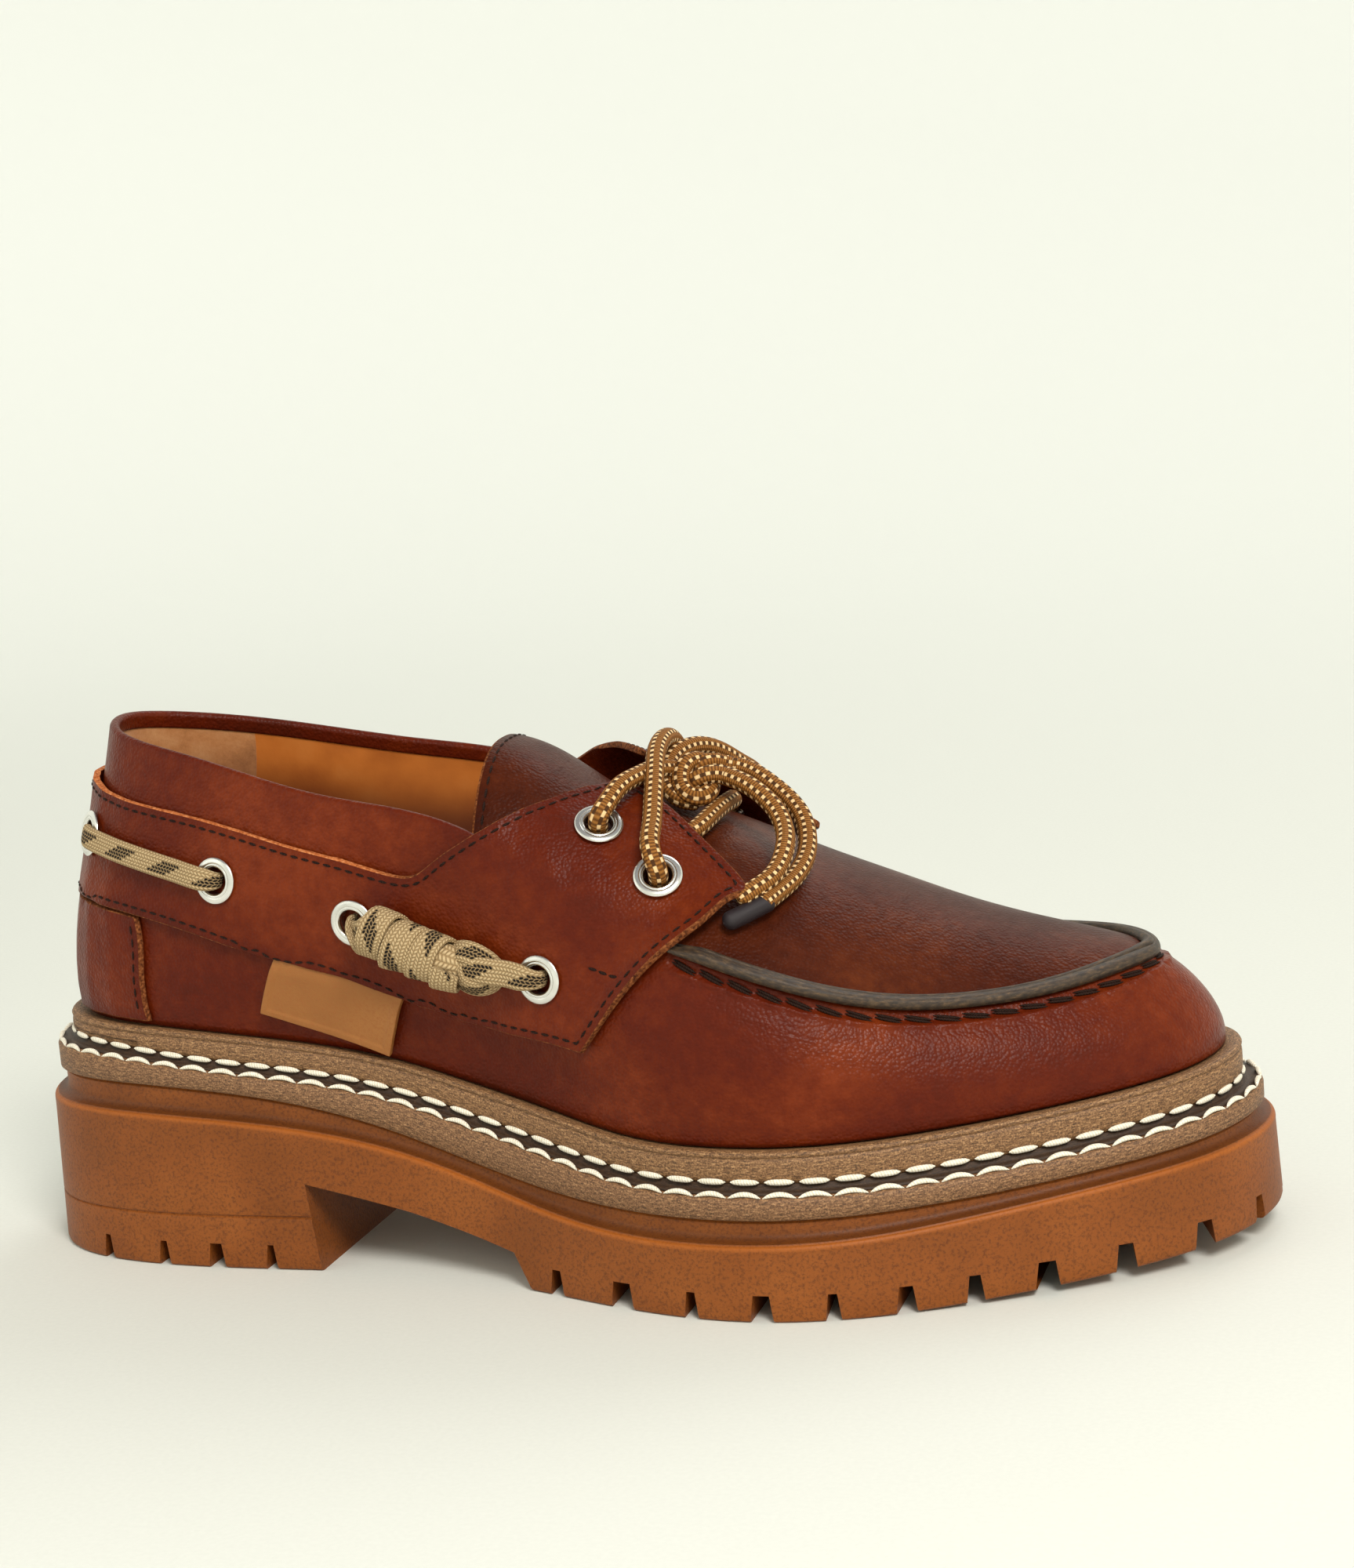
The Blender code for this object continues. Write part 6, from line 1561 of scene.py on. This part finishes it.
# %% Counter and tab
COUNTER_SIDE = ((0.03, 2.01), (0.21, 1.945), (0.37, 1.86), (0.455, 1.766))
UNDER_BAND = 0.02
reach, band_low = natural(*zip(*COUNTER_SIDE)), natural(*zip(*BAND_LOW))
u = np.linspace(-1, 1, 260)[:, None]
level_of = np.linspace(0, 1, 50)[None, :]
top_q = band_low(np.abs(u) * COUNTER_SIDE[-1][1]) - UNDER_BAND
q = COUNTER_SIDE[0][0] + level_of * (top_q - COUNTER_SIDE[0][0])
rib = np.abs(u) * reach(np.minimum(q, COUNTER_SIDE[-1][0]))
grid = np.where((u < 0)[..., None], over_last(rib, q, -1), over_last(rib, q, 1))
normal = grid_normals(grid, away_from_middle(grid) + np.array([-200.0, 0, 0]))
counter_face = laid_on(grid + 1.8 * normal, normal, "heel_counter")
counter_normal = grid_normals(counter_face, normal)
panel("heel_counter", counter_face, counter_normal, 1.2, red_brown_leather, "brown_leather",
      "heel_counter", bulge=0.2, bevel=0.5)
last_row = len(counter_face) - 1
for name, row in (("counter_stitches_l", 0), ("counter_stitches_m", last_row)):
    hem_stitches(name, counter_face, counter_normal, 1.5, lambda i, j, row=row: i == row, 2.9)

TAB_CORNERS = (((2.83, 0.356), (2.77, 0.134)), ((3.58, 0.295), (3.47, 0.034)))
a, b = np.linspace(0, 1, 110)[:, None], np.linspace(0, 1, 70)[None, :]
(p00, p01), (p10, p11) = np.asarray(TAB_CORNERS)
where = sum((share[..., None] * corner for share, corner in (
    ((1 - a) * (1 - b), p00), ((1 - a) * b, p01), (a * (1 - b), p10), (a * b, p11))))
where[..., 1] += (1 - b) * (band_low(where[:, :1, 0]) + 0.012 - where[:, :1, 1])
grid = over_last(where[..., 0], where[..., 1], -1)
tab_normal = grid_normals(grid, away_from_middle(grid))
frame_edge = 1 - np.minimum(smoothstep(np.minimum(a, 1 - a) * 34.0, 1.2, 2.2),
                            smoothstep((1 - b) * 19.0, 1.2, 2.2))
tab_face = grid + (1.8 + 0.5 * smoothstep(b, 0.02, 0.25) + 0.25 * frame_edge
                   * smoothstep(b, 0.1, 0.3))[..., None] * tab_normal
panel("side_tab", tab_face, tab_normal, 1.5, tab_rubber, "tab_rubber", "side_tab", bulge=0.15)

# %% The short bar of stitches at each flap's front
BAR = ((4.99, 0.77), (5.26, 0.78))
for name, sign in (("bar_l", -1), ("bar_m", 1)):
    rib = np.linspace(BAR[0][0], BAR[1][0], 12) - FLAP_SET_BACK[sign]
    guess = over_last(rib, np.linspace(BAR[0][1], BAR[1][1], 12), sign)
    found = [band_shape.find_nearest(Vector(p)) for p in guess]
    line = np.array([f[0] for f in found])
    normal = np.array([f[1] for f in found])
    normal *= np.sign(np.sum(normal * (line - [150.0, 3.0, 60.0]), -1, keepdims=True))
    stitch_row(f"stitches_{name}", line + 0.03 * normal, normal, 2.5, 2.1, 0.34, 0.26,
               brown_thread, "dark_leather", rings=7, sides=6)


# %% [markdown]
# ## Eyelets
# A ring of nickel-plated brass is pressed through the band: a barrel, and outside a domed
# rim. Each is one profile turned round its own axis, in the place of the solid one.

# %% Rings
def eyelet_frame(name):
    """Centre, axis and front height of a solid eyelet: the axis is its thinnest direction."""
    xyz = points_of(frame["nodes"][name].data)
    middle = xyz.mean(0)
    axis = np.linalg.svd(xyz - middle)[2][2]
    axis = axis if axis.dot(away_from_middle(middle)) > 0 else -axis
    heights = (xyz - middle) @ axis
    return middle + axis * (heights.max() - 1.3), axis    # the plane of the band's face


def spokes_round(axis, sides):
    """Unit directions at even turns round an axis."""
    first, turn = unit(np.cross([0, 0, 1.0], axis)), turns(sides)[:, None]
    return np.cos(turn) * first + np.sin(turn) * np.cross(axis, first)


EYELET_PROFILE = np.array([   # radius, height over the band
    (3.0, -1.5), (3.6, -1.5), (3.6, 0.1), (4.8, 0.12), (5.15, 0.2), (5.25, 0.42), (5.1, 0.66),
    (4.7, 0.84), (4.2, 0.95), (3.95, 0.93), (3.86, 0.78), (3.76, 0.92), (3.55, 1.0), (3.25, 0.9),
    (3.05, 0.6), (3.0, 0.2)])
RING_SIDES, HOLE_SIDES, HOLE_RADIUS = 56, 32, 3.75
EYELETS = {}
for letter in "lm":
    for number in range(1, 7):
        name = f"eyelet_{letter}{number}"
        EYELETS[f"{letter}{number}"] = centre, axis = eyelet_frame(name)
        rings = (centre + EYELET_PROFILE[:, :1] * spokes_round(axis, RING_SIDES)[:, None]
                 + EYELET_PROFILE[:, 1:] * axis)
        faces, _ = cells(RING_SIDES, len(EYELET_PROFILE), wrap_rows=True, wrap_columns=True)
        piece(f"ring_{letter}{number}", rings, faces, nickel, "nickel", name)

# %% Holes in the band for their barrels
holes = [np.stack([centre + HOLE_RADIUS * spokes_round(axis, HOLE_SIDES) + h * axis
                   for h in (-5.0, 4.0)]) for centre, axis in EYELETS.values()]
print("band with holes:", len(cut_by(band, holes).polygons), "faces")

# %% [markdown]
# ## Laces
# Along each side runs a flat woven lace, out of one eyelet and into the next. In front of
# it, a second one is wound round itself in a hard knot. The round lace crosses the throat
# from the top eyelets and is knotted there.

# %% The flat lace's weave
flat_braid, tree, shader = material("flat cotton braid, tan with dark ticks")
# Eight ribs run along each face, plaited of yarns that cross them; dark yarns come up in
# groups on the four middle ribs, each rib's group a step further on.
chart = node(tree, "UVMap", uv_map="map")
parts = node(tree, "SeparateXYZ", (chart,))
ribs_across = node(tree, "Math", (parts, 16.0), operation="MULTIPLY")
rib_number = node(tree, "Math", (ribs_across,), operation="FLOOR")
rib_place = node(tree, "Math", (ribs_across,), operation="FRACT")
way = node(tree, "Math", (rib_number, 2.0), operation="FLOORED_MODULO")
signed = node(tree, "Math", (way, 2.0, -1.0), operation="MULTIPLY_ADD")
slant = node(tree, "Math", (rib_place, signed), operation="MULTIPLY")
yarns = node(tree, "Math", (slant, 0.5, parts.outputs[1]), operation="MULTIPLY_ADD")
fine = node(tree, "Math", (yarns, 1.2), operation="MULTIPLY")
thread_place = node(tree, "Math", (fine,), operation="FRACT")
yarn_turn = node(tree, "Math", (thread_place, math.pi), operation="MULTIPLY")
yarn_round = node(tree, "Math", (yarn_turn,), operation="SINE")
rib_turn = node(tree, "Math", (rib_place, math.pi), operation="MULTIPLY")
rib_round = node(tree, "Math", (rib_turn,), operation="SINE")
grain_of = node(tree, "Math", (yarn_round, rib_round), operation="MULTIPLY")
stepped = node(tree, "Math", (rib_number, -1.2, parts.outputs[1]), operation="MULTIPLY_ADD")
group = node(tree, "Math", (stepped, 13.0), operation="FLOORED_MODULO")
in_group = node(tree, "MapRange", {"Value": group, "From Min": 5.3, "From Max": 5.5, "To Min": 1.0,
                                   "To Max": 0.0})
of_eight = node(tree, "Math", (rib_number, 8.0), operation="FLOORED_MODULO")
middle_rib = node(tree, "Math", (of_eight, 3.5, 1.7), operation="COMPARE")
grain_face = node(tree, "MapRange", {"Value": grain_of, "From Min": 0.2, "From Max": 0.4})
grouped = node(tree, "Math", (in_group, middle_rib), operation="MULTIPLY")
dark = node(tree, "Math", (grouped, grain_face), operation="MULTIPLY")
fuzz = node(tree, "TexNoise", {"Scale": 1100.0, "Detail": 2.0})
tone = node(tree, "Math", (grain_of, 0.5, fuzz), operation="MULTIPLY_ADD")
yarn = node(tree, "ValToRGB", {"Fac": tone}, stops=((0.38, "#6A5236"), (0.62, "#AC8F66"),
                                                    (0.95, "#D2B88F")))
ticked = node(tree, "Mix", {0: dark, 6: yarn, 7: colour("#1A130D")}, data_type="RGBA")
bump = node(tree, "Bump", {"Height": grain_of, "Strength": 0.8, "Distance": 0.0004})
plug(shader, {"Base Color": ticked.outputs[2], "Roughness": 0.82, "Normal": bump,
              "Specular IOR Level": 0.2})

# %% Rear side laces
SIDE_LACE, SIDE_LACE_RISE, EYELET_LACE, SIDE_LACE_ENDS = (2.6, 1.0), 2.4, 1.8, -1.2


def lace_frame(first, second):
    """Directions between two eyelets: ahead, upwards along the band, and outwards."""
    ahead = unit(second[0] - first[0])
    out = unit(first[1] + second[1])
    out = unit(out - out.dot(ahead) * ahead)
    rising = np.cross(out, ahead)
    return ahead, rising * (1 if rising[2] > 0 else -1), out


def facing_of(path, rising, out):
    """The way a lace's broad face looks while its width lies along the band."""
    up = np.cross(unit(np.gradient(path, axis=0)), rising)
    return up * np.sign(np.sum(up[len(up) // 2] * out))


def narrowed(path, width, ends=5.0):
    """Half width along a lace: pinched to the eyelet's bore at both ends."""
    run = np.linspace(0, 1, len(path)) * run_along(path)[-1]
    near = np.clip(np.minimum(run, run[-1] - run) / ends, 0, 1)
    return EYELET_LACE + (width - EYELET_LACE) * smoothstep(near, 0, 1)


for letter in "lm":
    (p, n), (q, m) = EYELETS[f"{letter}1"], EYELETS[f"{letter}2"]
    ahead, rising, out = lace_frame((p, n), (q, m))
    points = [p + SIDE_LACE_ENDS * n, p + 0.7 * n, p + 2.2 * n + 1.4 * ahead]
    for a in np.linspace(0.18, 0.82, 5):
        near, _, _, _ = band_shape.find_nearest(Vector((1 - a) * p + a * q + 6.0 * out))
        points.append(np.array(near) + SIDE_LACE_RISE * out)
    points += [q + 2.2 * m - 1.4 * ahead, q + 0.7 * m, q + SIDE_LACE_ENDS * m]
    path = smooth_path(points, 0.4)[0]
    tube_piece(f"side_lace_{letter}", *tube(
        path, narrowed(path, SIDE_LACE[0]), SIDE_LACE[1], up=facing_of(path, rising, out),
        sides=60, power=3.0), flat_braid, "tan_lace", f"side_lace_rear_{letter}")

# %% [markdown]
# The front side lace is wound more than three times round itself. Its coils are a helix
# with the flat face outwards: how far along, plus a turning radius upwards and outwards.
# After them the lace makes one loop, and its last strand comes out through that into the
# eyelet.

# %% The wound laces
BARREL_AT = (1.0, 3.0, 5.0, 7.5, 10.5, 15.0, 21.0, 27.5, 30.0)       # mm past the first eyelet
BARREL_HALF = natural(BARREL_AT, (1.9, 3.2, 4.6, 5.6, 6.1, 6.0, 5.8, 5.6, 4.6))
BARREL_MIDDLE = natural(BARREL_AT, (0.0, 0.3, 0.6, 0.8, 0.7, -0.3, -1.0, -1.6, -1.7))
COIL, COIL_PITCH, COIL_TURNS, DEPTH_SHARE = (3.2, 0.6), 6.3, 3.35, 0.74
COIL_FROM, COIL_START = 7.2, -1.9          # mm past the eyelet, turn in radians
STRAND = (     # along, upwards, outwards from the band
    (27.5, -1.2, 3.8), (30.8, -0.9, 4.9), (34.0, -0.5, 4.9), (37.5, -0.2, 4.0), (41.0, 0.1, 3.2))
LOOP = ((26.6, 1.0, 3.4), (29.4, 2.3, 4.4), (32.4, 2.4, 4.4), (35.0, 1.3, 3.4), (36.6, -0.6, 2.2),
        (36.8, -2.8, 2.1), (35.2, -4.5, 3.1), (32.7, -4.9, 4.2), (30.4, -4.0, 4.9),
        (29.0, -1.6, 4.8), (28.4, 0.6, 4.0))
for letter in "lm":
    (p, n), (q, m) = EYELETS[f"{letter}3"], EYELETS[f"{letter}4"]
    ahead, rising, out = lace_frame((p, n), (q, m))
    along_at = np.linspace(0, np.linalg.norm(q - p), 24)
    ground = np.interp(np.linspace(-2, 60, 200), along_at, [
        (np.array(band_shape.find_nearest(Vector(p + u * ahead + 6.0 * out))[0]) - p) @ out
        for u in along_at])

    def spot(u, v, w):
        """A point so far along, upwards, and outwards from the band."""
        u, v, w = np.broadcast_arrays(*(np.asarray(a, float)[..., None] for a in (u, v, w)))
        on_band = np.interp(u, np.linspace(-2, 60, 200), ground)
        return p + u * ahead + v * rising + (w + on_band) * out

    turn = np.linspace(0, 2 * math.pi * COIL_TURNS, 160) + COIL_START
    u = COIL_FROM + COIL_PITCH * (turn - turn[0]) / (2 * math.pi)
    radius = BARREL_HALF(u) - COIL[1]
    helix = spot(u, BARREL_MIDDLE(u) + radius * np.sin(turn),
                 DEPTH_SHARE * (BARREL_HALF(u) + radius * np.cos(turn)) + 0.3)
    tilt = 0.06 - 0.7 * (1 - smoothstep(u, 5.0, 9.0))
    away = unit(np.sin(turn)[:, None] * rising + np.cos(turn)[:, None] * out
                + tilt[:, None] * ahead)
    entry = np.stack([p + SIDE_LACE_ENDS * n, p + 0.8 * n, spot(1.2, -0.6, 2.2)])
    path, _ = smooth_path(np.vstack([entry, helix[6::5]]), 0.35)
    share = np.linspace(0, 1, len(path))
    nearest = np.argmin(np.linalg.norm(path[:, None] - helix[None], axis=-1), 1)
    winding = smoothstep(share, 0.0, 0.06)[:, None]
    face_way = (1 - winding) * np.cross(unit(np.gradient(path, axis=0)), rising) \
        * np.sign(np.dot(np.cross(ahead, rising), out)) + winding * away[nearest]
    tube_piece(f"side_coils_{letter}", *tube(
        path, EYELET_LACE + (COIL[0] - EYELET_LACE) * smoothstep(share, 0.02, 0.2), COIL[1],
        up=face_way, sides=48, power=3.6), flat_braid, "tan_lace")

    u = np.linspace(1.0, 29.0, 60)
    core = spot(u, BARREL_MIDDLE(u), DEPTH_SHARE * BARREL_HALF(u) + 0.3)
    half = np.maximum(BARREL_HALF(u) - 1.5, 1.2)
    tube_piece(f"side_knot_{letter}", *tube(core, half, DEPTH_SHARE * half, up=out, sides=48),
               flat_braid, "tan_lace", f"side_lace_knotted_{letter}")

    loop_path = smooth_path(spot(*np.array(LOOP).T), 0.35)[0]
    middle = spot(31.8, -1.6, 3.6)
    spread_out = loop_path - middle
    spread_out -= (spread_out @ ahead)[:, None] * ahead * 0.2
    tube_piece(f"side_loop_{letter}", *tube(
        loop_path, 2.55, 0.9, up=unit(spread_out) + 0.9 * out, sides=48, power=3.0),
        flat_braid, "tan_lace")

    strand = smooth_path(np.vstack([spot(*np.array(STRAND).T), [q + 2.2 * m - 1.5 * ahead],
                                    [q + 0.7 * m], [q + SIDE_LACE_ENDS * m]]), 0.4)[0]
    share = np.linspace(0, 1, len(strand))
    width = 2.0 + 0.9 * smoothstep(share, 0.05, 0.35) - 1.0 * smoothstep(share, 0.7, 0.95)
    tube_piece(f"side_strand_{letter}", *tube(
        strand, width, 1.15, up=facing_of(strand, rising, out), sides=48, power=2.6),
        flat_braid, "tan_lace")

# %% The round lace over the throat
STRANDS = {   # routes in the tables' millimetres; l5 and so on are eyelets
    "over_from_l6": ("l6", (163.0, -38.2, 94.0), (161.4, -32.0, 98.2), (160.0, -25.2, 102.0),
                     (158.4, -17.6, 106.9), (156.6, -9.0, 110.9), (156.2, -2.0, 112.4),
                     (156.2, 4.0, 111.4), (156.0, 9.4, 107.8)),
    "over_from_m6": ("m6", (165.0, 33.6, 96.6), (167.6, 28.6, 99.0), (168.0, 23.0, 101.2),
                     (166.9, 18.0, 103.6), (164.9, 14.0, 106.3), (162.6, 10.0, 108.4),
                     (160.3, 5.6, 109.3), (158.3, 1.6, 108.8), (157.1, -2.4, 107.0),
                     (157.4, -6.0, 104.6), (158.8, -9.0, 102.4), (161.2, -10.2, 100.6),
                     (164.2, -9.6, 99.6)),
    "to_knot_from_l5": ("l5", (151.2, -29.8, 103.2), (152.8, -24.6, 106.0), (154.8, -18.4, 107.0),
                        (156.6, -11.6, 107.2), (159.0, -6.6, 106.2), (161.0, -3.2, 105.0)),
    "to_knot_from_m5": ("m5", (152.4, 28.4, 103.8), (154.6, 25.4, 105.8), (156.2, 20.6, 106.8),
                        (157.2, 15.2, 107.4), (158.4, 10.0, 107.0), (159.6, 5.8, 106.0),
                        (161.0, 2.8, 105.0)),
    "hook": (None, (165.8, 0.6, 105.4), (164.4, -2.2, 107.0), (163.2, -4.6, 107.6),
             (161.8, -7.2, 106.6), (161.5, -8.9, 104.6), (162.2, -10.2, 102.6),
             (164.0, -10.6, 101.0), (166.2, -9.6, 100.6), (167.3, -7.4, 101.4),
             (167.0, -5.0, 102.4)),
    "root_outer": (None, (163.4, 0.5, 102.6), (162.6, -2.8, 104.2), (164.2, -4.2, 106.2),
                   (166.4, -3.0, 106.9), (169.4, -1.0, 106.0), (171.6, -0.4, 105.5)),
    "root_inner": (None, (162.8, -3.0, 101.6), (162.8, -6.4, 102.6), (164.6, -7.8, 104.0),
                   (167.4, -7.2, 104.9), (171.1, -6.1, 104.3), (173.4, -7.0, 103.7)),
    "on_apron": (None, (163.4, -22.4, 93.6), (166.6, -19.2, 94.9), (167.8, -15.4, 95.9),
                 (168.5, -10.4, 96.9), (169.3, -4.4, 97.7), (170.0, 0.6, 98.0)),
}
for name, (start, *points) in STRANDS.items():
    if start:
        centre, axis = EYELETS[start]
        points = [centre - 1.0 * axis, centre + 3.0 * axis, *points]
    lace_tube(f"lace_{name}", points, *(
        ["front_lace_crossings"] if name == "over_from_l6" else
        ["front_lace_knot"] if name == "hook" else []))
